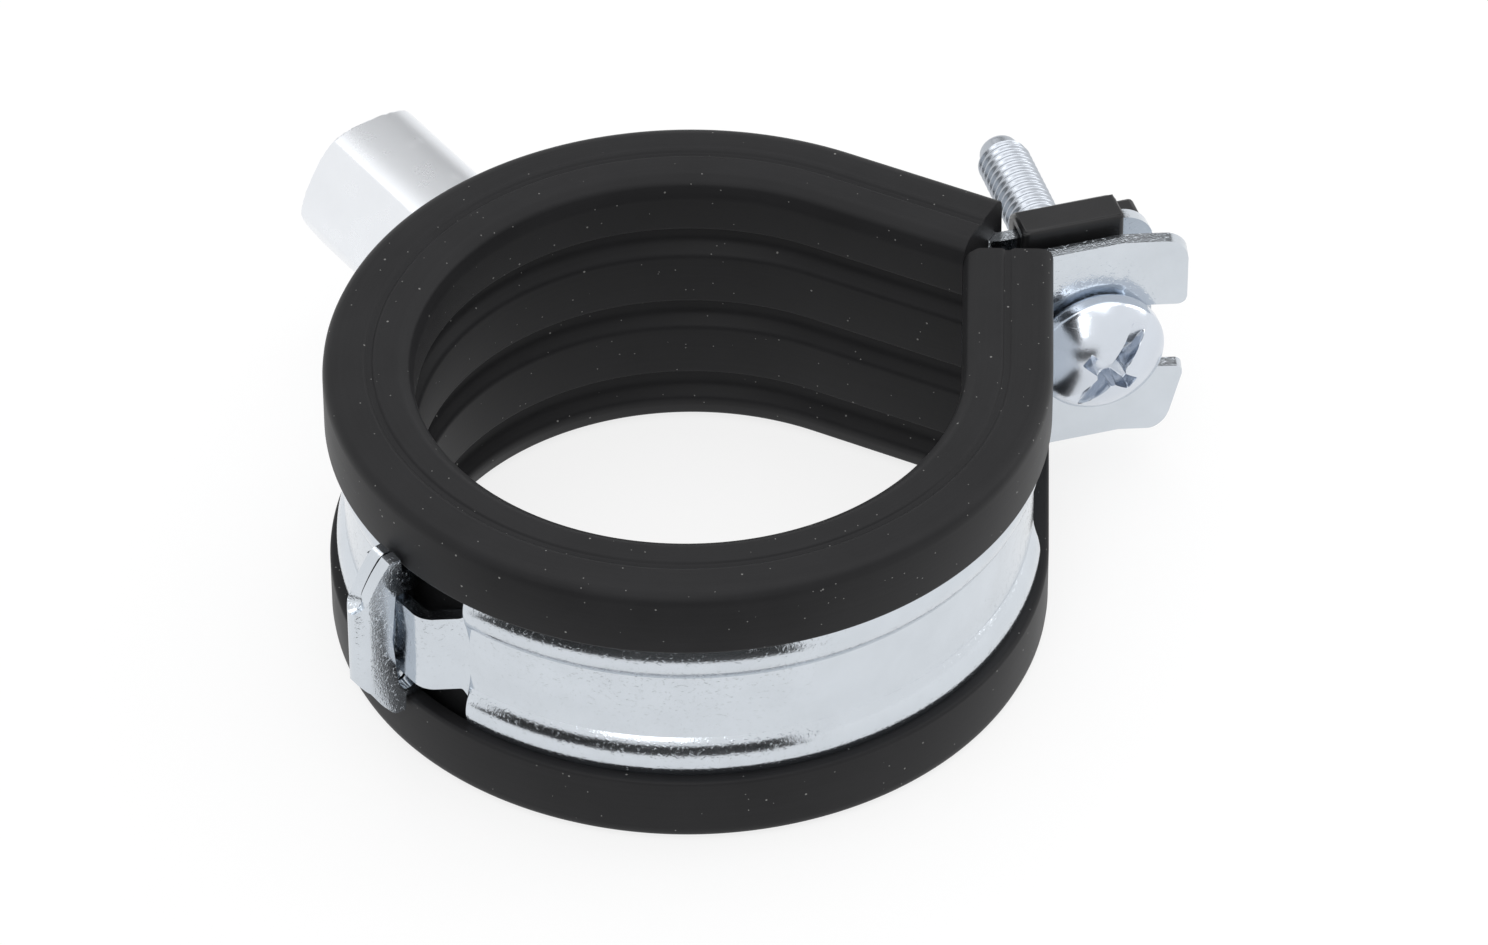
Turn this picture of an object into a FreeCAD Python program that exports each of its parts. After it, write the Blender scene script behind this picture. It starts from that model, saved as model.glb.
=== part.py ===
import FreeCAD, Part
import math
import os

from FreeCAD import Vector

# Rubber lined pipe clamp, in millimetres.
# The origin is on the axis of the pipe at the middle of the clamp's width. +Z runs along the pipe and
# +Y runs out through the connection nut. Azimuths are in degrees, measured from +X towards +Y.
# Across the ring, a place is given as an offset outwards from the bore and a height along the pipe.

# Ring
bore_r = 23.7               # bore of the liner, where the pipe lies
rear_leave_az = 27.5        # the rear shell leaves its arc and runs straight to the closure
front_leave_az = -37.0      # the same on the front shell
hinge_az = 182.3            # middle of the hinge

# Liner
liner_half = 14.0           # half of its width along the pipe
liner_wall = 5.15           # rubber under the strap
lip_edge = 7.1              # half of the opening between the two lips
lip_cover = 1.4             # rubber over the strap's edge
rim_round = 1.1
rim_slope = 1.35            # the rim's face slopes down over this width,
rim_drop = 0.7              # by this much
throat_in = 0.35            # below that, the bore widens by this much,
throat_depth = 1.35         # over this height
groove_depth = 1.1
groove_floor = 1.9
groove_pitch = 8.3
groove_count = 3
fit_gap = 0.05              # rubber to steel
parting_gap = 0.1           # between the two ends of the liner, and at the hinge

# Strap
sheet = 1.25
strap_half = 10.8
rib_in = 3.4                # the ribs lie between these two heights
rib_out = 6.9
rib_height = 0.75
rib_wall = 0.6              # how much narrower the hollow under a rib is, each side
rear_rib_margin = 4.2       # degrees of plain strap between the ribs and each end of the rear shell
front_rib_margin = 3.5
band_end = 14.2             # degrees from the hinge to the end of the front shell's full width

# Hinge. Distances run outwards from the pipe's axis, and past the hinge plane towards the rear shell
hem_gap = 0.75              # opening of the folded flange at its root
flange_reach = 6.25         # from the strap's outer face to the flange's edge
flange_half = 8.6
flange_outline_r = 12.6
flange_bulge = 1.0          # how far the half round outline is cut past the flange's leaves
neck_half = 4.0
neck_flare = 1.6
neck_lift = 2.15            # how far the neck rises to pass the slot
neck_rise_at = 5.2
neck_level_at = 2.3
neck_bend_r = 2.2
slot_gap = 0.32             # between the neck and the slot
lip_gap = 0.35              # between the flange and the liner's lips, for the swing
slot_half = 4.7
head_half = 6.5
head_length = 1.6
head_gap = 0.2

# Closure. Distances run along the ears from the pipe's axis, and across them along the screw
ear_az = -19.0
front_ear_across = 7.0      # the face of the front ear that carries the screw's head
ear_space = 2.15            # between the two ears
ear_bend_r = 1.1
rear_ear_beyond = 6.4       # from the screw's axis to the end of the rear ear
rear_ear_round = 3.2
crease_beyond = 2.5         # from the screw's axis to the crease of the front ear's wings
wing_length = 5.7
wing_angle = 13.0
wing_taper = 1.5            # how much shorter the lower wing is at its lower edge
wing_round = 2.0
wing_slot_half = 3.6
wing_slot_round = 0.9
wing_slot_ease = 1.4        # length over which the slot widens to the wings
dish_r = 6.6
dish_depth = 1.1
slot_travel = 1.1           # spare length of the slots for the screw's drift as the clamp opens

# Screw and its nut
head_r = 5.9
head_clear = 0.45           # between the head and the front strap
head_ball_r = 10.0          # underside of the head
head_rim = 1.2
head_dome = 3.0
screw_r = 2.45
screw_slot_half = 2.8
screw_length = 27.5
screw_tip = 1.2             # the tip is turned down over this length,
screw_tip_in = 0.6          # by this much on the radius
drive_width = 1.3
drive_depth = 1.85
drive_az = 50.0
cross_length = 5.2
cross_depth = 2.6
square_nut = 8.0
square_nut_thick = 2.7
nut_gap = 0.05
thread_gap = 0.15

# Clip that holds the square nut on the rear ear
clip_before = 6.2           # from the screw's axis towards the pipe
clip_after = 3.2
clip_leg = 1.3
clip_wall = 1.15
clip_top = 1.45             # plastic over the ear's edge
clip_flat = 3.0             # width of the flat on top
clip_fall = 1.3             # how far the top slopes down behind the flat
clip_crown_back = 1.95      # from the ear's far face to the back of the upper part
clip_leg_bottom = 3.9
clip_step = 8.6
clip_wide_before = 5.2
clip_wide_after = 6.1
pocket_play = 0.3

# Connection nut
nut_across = 13.9
nut_length = 21.5
nut_corner = 0.9
outer_thread_r = 4.25
outer_thread_depth = 9.0
inner_thread_r = 3.4
mouth_bevel = 0.8
foot_relief = 0.7           # the bore is wider by this much at the strap,
foot_relief_depth = 0.9     # up to this height above it

UP = Vector(0, 0, 1)
PIPE = Vector(0, 0, 0)


def heading(az):
    return Vector(math.cos(math.radians(az)), math.sin(math.radians(az)), 0)


ALONG = heading(ear_az)
ACROSS = heading(ear_az + 90)
HINGE_OUT = heading(hinge_az)
HINGE_ON = heading(hinge_az - 90)

strap_in = liner_wall + fit_gap
strap_out = strap_in + sheet
strap_mid = strap_in + sheet / 2
lip_in = strap_out + fit_gap
lip_out = lip_in + lip_cover


def crossing(start, way, other, other_way):
    """Where two lines in the plane of the ring meet."""
    step = other - start
    turn = way.x * other_way.y - way.y * other_way.x
    return start + way * ((step.x * other_way.y - step.y * other_way.x) / turn)


def at_ear(along, across, z=0.0):
    return ALONG * along + ACROSS * across + UP * z


def at_hinge(radius, past, z=0.0):
    return HINGE_OUT * radius + HINGE_ON * past + UP * z


# Where the two straight runs of the bore meet
rear_tangent = heading(rear_leave_az) * bore_r
rear_way = heading(rear_leave_az - 90)
front_tangent = heading(front_leave_az) * bore_r
front_way = heading(front_leave_az + 90)
parting = crossing(rear_tangent, rear_way, front_tangent, front_way)
rear_run = (parting - rear_tangent).dot(rear_way) - parting_gap
front_run = (parting - front_tangent).dot(front_way) - parting_gap

# Places that follow from the ring
neck_r = bore_r + strap_mid + neck_lift
flange_r = bore_r + strap_out + flange_reach
rear_ear_across = front_ear_across + sheet + ear_space
strap_corner = (parting + heading(front_leave_az) * strap_out).dot(ALONG)
screw_along = strap_corner + head_r + head_clear
wing_crease = screw_along + crease_beyond
wing_end = wing_crease + wing_length
rear_ear_end = screw_along + rear_ear_beyond
nut_end = bore_r + strap_in + nut_length


def rise_of(ball_r, radius):
    """How far a ball's surface falls back from its pole at a distance from its axis."""
    return ball_r - math.sqrt(ball_r ** 2 - radius ** 2)


# The head's underside touches the dish at the sides of the slot, and this is its own lowest point
press_r = (dish_r ** 2 + dish_depth ** 2) / (2 * dish_depth)
head_pole = (front_ear_across + dish_depth - rise_of(press_r, screw_slot_half)
             + rise_of(head_ball_r, screw_slot_half) - fit_gap)


def joined(solids):
    whole = solids[0]
    for piece in solids[1:]:
        whole = whole.fuse(piece)
    return whole.removeSplitter()


def segment(start, end):
    return Part.makeLine(start, end)


def bow(start, middle, end):
    return Part.Arc(start, middle, end).toShape()


def face_of(edges):
    return Part.Face(Part.Wire(edges))


def polygon(points):
    return Part.Face(Part.makePolygon(points + [points[0]]))


def swept_arc(outline, start_az, end_az):
    """An outline of the ring carried round the pipe."""
    out = heading(start_az)
    face = outline(lambda offset, z: out * (bore_r + offset) + UP * z)
    return face.revolve(PIPE, UP, end_az - start_az)


def swept_run(outline, start, out_az, way, length):
    """An outline of the ring carried along a straight run."""
    out = heading(out_az)
    face = outline(lambda offset, z: start + out * offset + UP * z)
    return face.extrude(way * length)


def strap_outline(half):
    def outline(place):
        corners = ((strap_in, -half), (strap_out, -half), (strap_out, half), (strap_in, half))
        return polygon([place(offset, z) for offset, z in corners])
    return outline


def rib_edges(place, base, low, high):
    """One side of the strap over the two ribs, from the lower edge to the upper one."""
    edges = []
    last = -strap_half
    for start, end in ((-high, -low), (low, high)):
        edges.append(segment(place(base, last), place(base, start)))
        crest = place(base + rib_height, (start + end) / 2)
        edges.append(bow(place(base, start), crest, place(base, end)))
        last = end
    edges.append(segment(place(base, last), place(base, strap_half)))
    return edges


def ribbed_outline(place):
    outer = rib_edges(place, strap_out, rib_in, rib_out)
    inner = rib_edges(place, strap_in, rib_in + rib_wall, rib_out - rib_wall)
    ends = [segment(place(strap_in, z), place(strap_out, z)) for z in (-strap_half, strap_half)]
    return face_of(Part.sortEdges(outer + inner + ends)[0])


def liner_outline(place):
    """The liner: grooved bore, sloped rims, and lips that hold the edges of the strap."""
    top = liner_half
    edge = strap_half + fit_gap
    soft = rim_round * (1 - math.sqrt(0.5))
    edges = []

    def go(*points):
        for start, end in zip(points, points[1:]):
            edges.append(segment(place(*start), place(*end)))

    throat = top - rim_drop - throat_depth
    rim = ((0, throat), (throat_in, top - rim_drop), (rim_slope, top), (lip_out - rim_round, top))
    channel = ((lip_out, lip_edge), (lip_in, lip_edge), (lip_in, edge), (liner_wall, edge))
    low_channel = [(offset, -z) for offset, z in reversed(channel)]
    go(*rim)
    edges.append(bow(place(lip_out - rim_round, top), place(lip_out - soft, top - soft),
                     place(lip_out, top - rim_round)))
    go((lip_out, top - rim_round), *channel, *low_channel, (lip_out, rim_round - top))
    edges.append(bow(place(lip_out, rim_round - top), place(lip_out - soft, soft - top),
                     place(lip_out - rim_round, -top)))
    go(*[(offset, -z) for offset, z in reversed(rim)])
    below = -throat
    ease = groove_depth * (1 - math.sqrt(0.5))
    highest = groove_pitch * (groove_count - 1) / 2
    for number in reversed(range(groove_count)):
        upper = highest - groove_pitch * number
        shoulder = upper - groove_floor
        foot = shoulder - groove_depth
        go((0, below), (0, foot))
        edges.append(bow(place(0, foot), place(ease, shoulder - ease), place(groove_depth, shoulder)))
        go((groove_depth, shoulder), (groove_depth, upper), (0, upper))
        below = upper
    go((0, below), (0, throat))
    return face_of(edges)


def shifted(points, side):
    """A chain of points moved sideways by the same distance everywhere."""
    moved = []
    for index, point in enumerate(points):
        before = (point - points[index - 1]).normalize() if index else None
        after = (points[index + 1] - point).normalize() if index + 1 < len(points) else None
        before = before or after
        after = after or before
        left = UP.cross(before + after).normalize()
        stretch = left.dot(UP.cross(before))
        moved.append(point + left * (side / stretch))
    return moved


def chain(points, radii):
    """Straight edges between points, with an arc of the given radius at each inner one."""
    edges = []
    last = points[0]
    for before, point, after, radius in zip(points, points[1:], points[2:], radii):
        back = (before - point).normalize()
        on = (after - point).normalize()
        half_angle = back.getAngle(on) / 2
        reach = radius / math.tan(half_angle)
        inward = (back + on).normalize()
        middle = point + inward * (radius / math.sin(half_angle) - radius)
        edges.append(segment(last, point + back * reach))
        edges.append(bow(point + back * reach, middle, point + on * reach))
        last = point + on * reach
    edges.append(segment(last, points[-1]))
    return edges


def bent_sheet(points, bends, half, gap=0.0):
    """Sheet bent along a chain of mid surface points, with an inner radius at each bend.

    With a gap, it is the space that such a sheet needs around it."""
    sides = []
    thick = sheet + 2 * gap
    for side in (thick / 2, -thick / 2):
        radii = []
        for before, point, after, inner in zip(points, points[1:], points[2:], bends):
            turn = (point - before).cross(after - point).z
            inside = turn * side > 0
            radii.append(inner - gap if inside else inner + sheet + gap)
        sides.append(chain(shifted(points, side), radii))
    left, right = sides
    start = segment(left[0].Vertexes[0].Point, right[0].Vertexes[0].Point)
    end = segment(left[-1].Vertexes[-1].Point, right[-1].Vertexes[-1].Point)
    outline = face_of(Part.sortEdges(left + right + [start, end])[0])
    outline.translate(UP * -(half + gap))
    return outline.extrude(UP * (2 * (half + gap)))


def slot_tool(low, high, half, across_from, across_to):
    """A round ended slot through the ears, as a solid to cut with."""
    ends = [Part.makeCylinder(half, across_to - across_from, at_ear(along, across_from), ACROSS)
            for along in (low, high)]
    corners = [at_ear(along, across_from, z)
               for along, z in ((low, -half), (high, -half), (high, half), (low, half))]
    return joined([polygon(corners).extrude(ACROSS * (across_to - across_from))] + ends)


def ear_block(along_from, along_to, across_from, across_to, low, high):
    corners = [at_ear(along, across, low) for along, across in
               ((along_from, across_from), (along_to, across_from),
                (along_to, across_to), (along_from, across_to))]
    return polygon(corners).extrude(UP * (high - low))


# The mid lines of the two ears, from the straight run of the strap round the bend
rear_ear_mid = rear_ear_across + sheet / 2
front_ear_mid = front_ear_across + sheet / 2
bend_room = ear_bend_r + sheet
rear_turn = rear_tangent + heading(rear_leave_az) * strap_mid + rear_way * (rear_run - bend_room)
front_turn = front_tangent + heading(front_leave_az) * strap_mid + front_way * (front_run - bend_room)
rear_line = [rear_turn, crossing(rear_turn, rear_way, at_ear(0, rear_ear_mid), ALONG),
             at_ear(rear_ear_end, rear_ear_mid)]
front_line = [front_turn, crossing(front_turn, front_way, at_ear(0, front_ear_mid), ALONG),
              at_ear(wing_crease, front_ear_mid),
              at_ear(wing_end, front_ear_mid - wing_length * math.tan(math.radians(wing_angle)))]


def make_liner(rear):
    gap = math.degrees(parting_gap / 2 / bore_r)
    if rear:
        liner = joined([
            swept_arc(liner_outline, rear_leave_az, hinge_az - gap),
            swept_run(liner_outline, rear_tangent, rear_leave_az, rear_way, rear_run)])
        return liner.cut(bent_sheet(rear_line, [ear_bend_r], strap_half, fit_gap))
    return joined([
        swept_arc(liner_outline, hinge_az + gap, 360 + front_leave_az),
        swept_run(liner_outline, front_tangent, front_leave_az, front_way, front_run)])


def make_flange():
    """The rear strap's end: turned out, folded back on itself and cut to a half round."""
    root = bore_r + strap_in
    fold_at = flange_r - sheet
    rear_leaf = polygon([at_hinge(radius, past, -flange_half) for radius, past in
                         ((root, 0), (fold_at, 0), (fold_at, sheet), (root, sheet))])
    front_root = bore_r + strap_out + fit_gap
    front_leaf = polygon([at_hinge(radius, past, -flange_half) for radius, past in
                          ((front_root, -hem_gap), (fold_at, 0), (fold_at, -sheet),
                           (front_root, -hem_gap - sheet))])
    fold = Part.makeCylinder(sheet, 2 * flange_half, at_hinge(fold_at, 0, -flange_half), UP)
    leaves = joined([face.extrude(UP * (2 * flange_half)) for face in (rear_leaf, front_leaf)] + [fold])
    reach = hem_gap + sheet + flange_bulge
    outline = Part.makeCylinder(flange_outline_r, 2 * reach,
                                at_hinge(flange_r - flange_outline_r, -reach), HINGE_ON)
    leaves = leaves.common(outline)
    for z in (lip_edge - lip_gap, lip_gap - lip_edge - liner_half):
        leaves = leaves.cut(Part.makeCylinder(bore_r + lip_out + lip_gap, liner_half, UP * z, UP))
    inner = neck_r - sheet / 2 - slot_gap
    outer = neck_r + sheet / 2 + slot_gap
    slot = polygon([at_hinge(radius, -reach, z) for radius, z in
                    ((inner, -slot_half), (outer, -slot_half), (outer, slot_half), (inner, slot_half))])
    throat = polygon([at_hinge(radius, -reach, z) for radius, z in
                      ((root, -slot_half), (outer, -slot_half), (outer, slot_half), (root, slot_half))])
    leaves = leaves.cut(slot.extrude(HINGE_ON * (2 * reach)))
    return leaves.cut(throat.extrude(HINGE_ON * (reach - fit_gap)))


def make_rear_ear():
    ear = bent_sheet(rear_line, [ear_bend_r], strap_half)
    corners = [at_ear(along, 0, z) for along, z in
               ((0, -strap_half), (rear_ear_end, -strap_half), (rear_ear_end, strap_half), (0, strap_half))]
    edges = chain(corners, [rear_ear_round, rear_ear_round])
    edges.append(segment(corners[-1], corners[0]))
    ear = ear.common(face_of(edges).extrude(ACROSS * (2 * rear_ear_mid)))
    return ear.cut(slot_tool(screw_along, screw_along + slot_travel, screw_slot_half,
                             rear_ear_across - sheet, rear_ear_across + 2 * sheet))


def make_rear_strap():
    plain = strap_outline(strap_half)
    half_leaf = math.degrees(sheet / 2 / (bore_r + strap_mid))
    rib_stop = hinge_az - rear_rib_margin
    rib_start = rear_leave_az + rear_rib_margin
    return joined([
        swept_arc(plain, rib_stop, hinge_az - half_leaf),
        swept_arc(ribbed_outline, rib_start, rib_stop),
        swept_arc(plain, rear_leave_az, rib_start),
        swept_run(plain, rear_tangent, rear_leave_az, rear_way, rear_run - bend_room),
        make_rear_ear(),
        make_flange()])


def dish_ball(margin):
    """The ball that presses the seat into the front ear."""
    ball = Part.makeSphere(press_r + margin)
    ball.translate(at_ear(screw_along, front_ear_across + dish_depth - press_r))
    return ball


def fork_outline():
    """The front ear seen along the screw: two prongs, with a slot that opens between the wings."""
    slot_end = screw_along - slot_travel - screw_slot_half
    bottom_round = screw_slot_half - fit_gap
    lower = ((0, -strap_half, 0), (wing_end - wing_taper, -strap_half, wing_round),
             (wing_end, -wing_slot_half, wing_slot_round), (wing_crease, -wing_slot_half, wing_slot_round),
             (wing_crease - wing_slot_ease, -screw_slot_half, wing_slot_round),
             (slot_end, -screw_slot_half, bottom_round))
    upper = ((slot_end, screw_slot_half, bottom_round),
             (wing_crease - wing_slot_ease, screw_slot_half, wing_slot_round),
             (wing_crease, wing_slot_half, wing_slot_round), (wing_end, wing_slot_half, wing_slot_round),
             (wing_end, strap_half, wing_round), (0, strap_half, 0))
    deep = front_ear_mid
    corners = [at_ear(along, -deep, z) for along, z, _ in lower + upper]
    edges = chain(corners, [radius for _, _, radius in (lower + upper)[1:-1]])
    edges.append(segment(corners[-1], corners[0]))
    return face_of(edges).extrude(ACROSS * (4 * deep))


def make_front_ear():
    ear = bent_sheet(front_line, [ear_bend_r, ear_bend_r], strap_half)
    back_face = front_ear_across + sheet
    inside = ear_block(0, wing_crease, front_ear_across - dish_depth, back_face + dish_depth,
                       -strap_half, strap_half)
    bulge = dish_ball(sheet).common(Part.makeCylinder(2 * dish_r, 2 * dish_depth,
                                                      at_ear(screw_along, back_face), ACROSS))
    press = dish_ball(0).common(Part.makeCylinder(dish_r, 2 * dish_depth,
                                                  at_ear(screw_along, front_ear_across - dish_depth), ACROSS))
    ear = joined([ear, bulge.common(inside)]).cut(press.common(inside))
    head = Part.makeSphere(head_ball_r + fit_gap, at_ear(screw_along, head_pole - head_ball_r))
    head_space = Part.makeCylinder(head_r + fit_gap, 2 * head_ball_r,
                                   at_ear(screw_along, head_pole - head_ball_r), ACROSS)
    return ear.cut(head.common(head_space)).common(fork_outline())


def make_neck():
    """The tongue of the front strap, raised to pass the slot, with its cross head."""
    mid_r = bore_r + strap_mid
    start = math.radians(band_end)
    root = at_hinge(mid_r * math.cos(start), -mid_r * math.sin(start))
    way = HINGE_OUT * math.sin(start) + HINGE_ON * math.cos(start)
    rise = crossing(root, way, at_hinge(0, -neck_rise_at), HINGE_OUT)
    head_from = sheet + head_gap
    points = [root, rise, at_hinge(neck_r, -neck_level_at), at_hinge(neck_r, head_from + head_length)]
    neck = bent_sheet(points, [neck_bend_r, neck_bend_r], neck_half)
    cross = polygon([at_hinge(neck_r - sheet / 2, past, z) for past, z in
                     ((head_from, -head_half), (head_from + head_length, -head_half),
                      (head_from + head_length, head_half), (head_from, head_half))])
    return joined([neck, cross.extrude(HINGE_OUT * sheet)])


def make_front_strap():
    plain = strap_outline(strap_half)
    band_start = hinge_az + band_end
    stop = 360 + front_leave_az
    rib_stop = stop - front_rib_margin
    flare_turn = math.degrees(neck_flare / (bore_r + strap_mid))
    flare = swept_arc(strap_outline(neck_half + neck_flare), band_start - flare_turn, band_start)
    out = heading(band_start - flare_turn)
    for z in (-neck_half - neck_flare, neck_half + neck_flare):
        flare = flare.cut(Part.makeCylinder(neck_flare, bore_r, out * bore_r + UP * z, out))
    return joined([
        swept_arc(ribbed_outline, band_start, rib_stop),
        swept_arc(plain, rib_stop, stop),
        swept_run(plain, front_tangent, front_leave_az, front_way, front_run - bend_room),
        make_front_ear(),
        flare,
        make_neck()])


def make_connection_nut(rear_strap):
    corner_r = nut_across / math.sqrt(3)
    low = bore_r + strap_in
    corners = [Vector(corner_r * math.cos(math.radians(60 * n)), low, corner_r * math.sin(math.radians(60 * n)))
               for n in range(6)]
    along = Vector(0, 1, 0)
    prism = polygon(corners).extrude(along * nut_length)
    rise = nut_corner * math.tan(math.radians(30))
    body = Part.makeCylinder(nut_across, nut_length - rise, Vector(0, low, 0), along)
    crown = Part.makeCone(corner_r, corner_r - nut_corner, rise, Vector(0, nut_end - rise, 0), along)
    nut = prism.common(joined([body, crown]))
    nut = nut.cut(Part.makeCylinder(outer_thread_r, outer_thread_depth,
                                    Vector(0, nut_end - outer_thread_depth, 0), along))
    nut = nut.cut(Part.makeCylinder(inner_thread_r, nut_length, Vector(0, low, 0), along))
    nut = nut.cut(Part.makeCylinder(inner_thread_r + foot_relief, sheet + foot_relief_depth,
                                    Vector(0, low, 0), along))
    nut = nut.cut(Part.makeCone(outer_thread_r, outer_thread_r + mouth_bevel, mouth_bevel,
                                Vector(0, nut_end - mouth_bevel, 0), along))
    seat = swept_arc(ribbed_outline, rear_leave_az + rear_rib_margin, hinge_az - rear_rib_margin)
    pieces = nut.cut(rear_strap).cut(seat).Solids
    return max(pieces, key=lambda piece: piece.Volume)


def make_screw():
    """Domed screw with a ball shaped underside, turned as one profile, with a slot and a cross."""
    def place(radius, across):
        return at_ear(screw_along + radius, across)

    def under(radius):
        return place(radius, head_pole - rise_of(head_ball_r, radius))

    rim_across = head_pole - rise_of(head_ball_r, head_r)
    dome_r = (head_r ** 2 + head_dome ** 2) / (2 * head_dome)
    top = rim_across - head_rim - head_dome
    half_way = top + rise_of(dome_r, head_r / 2)
    end = front_ear_across + dish_depth + screw_length
    tip_r = screw_r - screw_tip_in
    edges = [segment(place(0, top), place(0, end)),
             segment(place(0, end), place(tip_r, end)),
             segment(place(tip_r, end), place(screw_r, end - screw_tip)),
             segment(place(screw_r, end - screw_tip), under(screw_r)),
             bow(under(screw_r), under((screw_r + head_r) / 2), under(head_r)),
             segment(under(head_r), place(head_r, rim_across - head_rim)),
             bow(place(head_r, rim_across - head_rim), place(head_r / 2, half_way), place(0, top))]
    screw = face_of(edges).revolve(at_ear(screw_along, 0), ACROSS, 360)
    for turn, length, depth in ((drive_az, 2 * head_r, drive_depth),
                                (drive_az, cross_length, cross_depth),
                                (drive_az + 90, cross_length, cross_depth)):
        block = Part.makeBox(length, depth + head_dome, drive_width)
        block.translate(Vector(-length / 2, -head_dome, -drive_width / 2))
        block.rotate(PIPE, Vector(0, 1, 0), -turn)
        block.rotate(PIPE, UP, ear_az)
        block.translate(at_ear(screw_along, top))
        screw = screw.cut(block)
    return screw


def make_square_nut():
    start = rear_ear_across + sheet + nut_gap
    half = square_nut / 2
    block = ear_block(screw_along - half, screw_along + half, start, start + square_nut_thick, -half, half)
    return block.cut(Part.makeCylinder(screw_r + thread_gap, 2 * square_nut_thick,
                                       at_ear(screw_along, start - square_nut_thick / 2), ACROSS))


def make_clip():
    """A saddle over the rear ear's edge, with a leg between the ears and a pocket behind them."""
    near_face = rear_ear_across - fit_gap
    far_face = rear_ear_across + sheet + fit_gap
    half = square_nut / 2 + pocket_play
    seat = strap_half + fit_gap
    top = seat + clip_top
    pocket_to = far_face + square_nut_thick + 2 * nut_gap
    back = pocket_to + clip_wall
    start = screw_along - clip_before
    stop = screw_along + clip_after
    wide_start = screw_along - clip_wide_before
    wide_stop = screw_along + clip_wide_after
    front = near_face - clip_leg
    crown_back = far_face + clip_crown_back
    crown = polygon([at_ear(start, across, z) for across, z in
                     ((front, seat), (front, top), (front + clip_flat, top), (crown_back, top - clip_fall),
                      (crown_back, clip_step - clip_wall), (far_face, clip_step - clip_wall),
                      (far_face, seat))])
    leg = ear_block(start, stop, front, near_face, clip_leg_bottom, seat)
    lower = ear_block(wide_start, wide_stop, far_face, back, -half - clip_wall, clip_step)
    body = joined([crown.extrude(ALONG * (stop - start)), leg, lower])
    body = body.cut(ear_block(screw_along - half, wide_stop + clip_wall, far_face - sheet, pocket_to, -half, half))
    body = body.cut(slot_tool(screw_along, screw_along + slot_travel, screw_slot_half + pocket_play,
                              front - clip_wall, back + clip_wall))
    crest = [edge for edge in body.Edges if abs(edge.BoundBox.ZMin - top) < fit_gap]
    return body.makeFillet(clip_leg / 3, crest)


rear_strap = make_rear_strap()
parts = {
    "rear_strap": rear_strap,
    "front_strap": make_front_strap(),
    "connection_nut": make_connection_nut(rear_strap),
    "rear_liner": make_liner(True),
    "front_liner": make_liner(False),
    "closure_screw": make_screw(),
    "square_nut": make_square_nut(),
    "screw_clip": make_clip(),
}

os.makedirs("parts", exist_ok=True)
for name, shape in parts.items():
    if len(shape.Solids) == 1:
        shape = shape.Solids[0]
    shape.exportStep(os.path.join("parts", name + ".step"))
    box = shape.BoundBox
    print(name, "solids", len(shape.Solids), "valid", shape.isValid(), "volume", round(shape.Volume, 1),
          "x", round(box.XMin, 2), round(box.XMax, 2), "y", round(box.YMin, 2), round(box.YMax, 2),
          "z", round(box.ZMin, 2), round(box.ZMax, 2))
print("screw along", round(screw_along, 3), "parting", parting, "nut end", nut_end)
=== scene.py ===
import math
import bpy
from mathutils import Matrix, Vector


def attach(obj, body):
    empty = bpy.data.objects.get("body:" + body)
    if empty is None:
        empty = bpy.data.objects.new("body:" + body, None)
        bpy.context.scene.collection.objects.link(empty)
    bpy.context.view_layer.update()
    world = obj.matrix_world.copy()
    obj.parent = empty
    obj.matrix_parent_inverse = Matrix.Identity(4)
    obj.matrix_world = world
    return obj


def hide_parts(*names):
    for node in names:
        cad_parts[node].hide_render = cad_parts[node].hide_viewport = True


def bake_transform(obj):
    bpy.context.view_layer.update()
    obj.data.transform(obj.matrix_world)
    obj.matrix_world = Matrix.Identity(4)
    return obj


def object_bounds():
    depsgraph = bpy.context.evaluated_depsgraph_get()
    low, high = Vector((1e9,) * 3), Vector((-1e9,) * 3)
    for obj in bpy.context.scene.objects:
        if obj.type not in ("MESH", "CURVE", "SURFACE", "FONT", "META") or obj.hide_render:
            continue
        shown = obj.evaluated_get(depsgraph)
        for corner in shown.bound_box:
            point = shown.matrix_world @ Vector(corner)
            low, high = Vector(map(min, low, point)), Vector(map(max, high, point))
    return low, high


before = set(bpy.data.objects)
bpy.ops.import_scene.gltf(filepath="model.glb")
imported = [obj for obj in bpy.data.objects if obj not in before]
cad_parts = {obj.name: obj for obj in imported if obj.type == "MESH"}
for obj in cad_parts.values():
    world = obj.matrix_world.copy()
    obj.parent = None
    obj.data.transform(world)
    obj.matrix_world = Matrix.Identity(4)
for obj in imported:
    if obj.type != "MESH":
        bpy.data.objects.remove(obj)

import types

import bmesh
import bpy
import numpy as np
from mathutils import Matrix, Vector

bl_info = {
    "name": "Rubber lined pipe clamp",
    "version": (1, 0, 0),
    "blender": (4, 5, 0),
    "location": "3D View > Sidebar > Pipe clamp",
    "description": "Dresses the clamp's frame with liner, straps, screw, nuts and clip, and sets its stage",
    "category": "Object",
}

CAD_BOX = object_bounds()


# Sizes and colours that a user would change

def length(name, millimetres, description):
    """A length that is given in millimetres and kept in metres."""
    return bpy.props.FloatProperty(name=name, description=description, default=millimetres / 1000,
                                   unit="LENGTH", precision=5)


def turn(name, degrees, description):
    """An angle that is given in degrees and kept in radians."""
    return bpy.props.FloatProperty(name=name, description=description, default=math.radians(degrees),
                                   subtype="ANGLE", unit="ROTATION")


def colour(name, red, green, blue, description):
    """A colour that is given as three linear parts from 0 to 1."""
    return bpy.props.FloatVectorProperty(name=name, description=description, default=(red, green, blue),
                                         size=3, subtype="COLOR", min=0, max=1)


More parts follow.
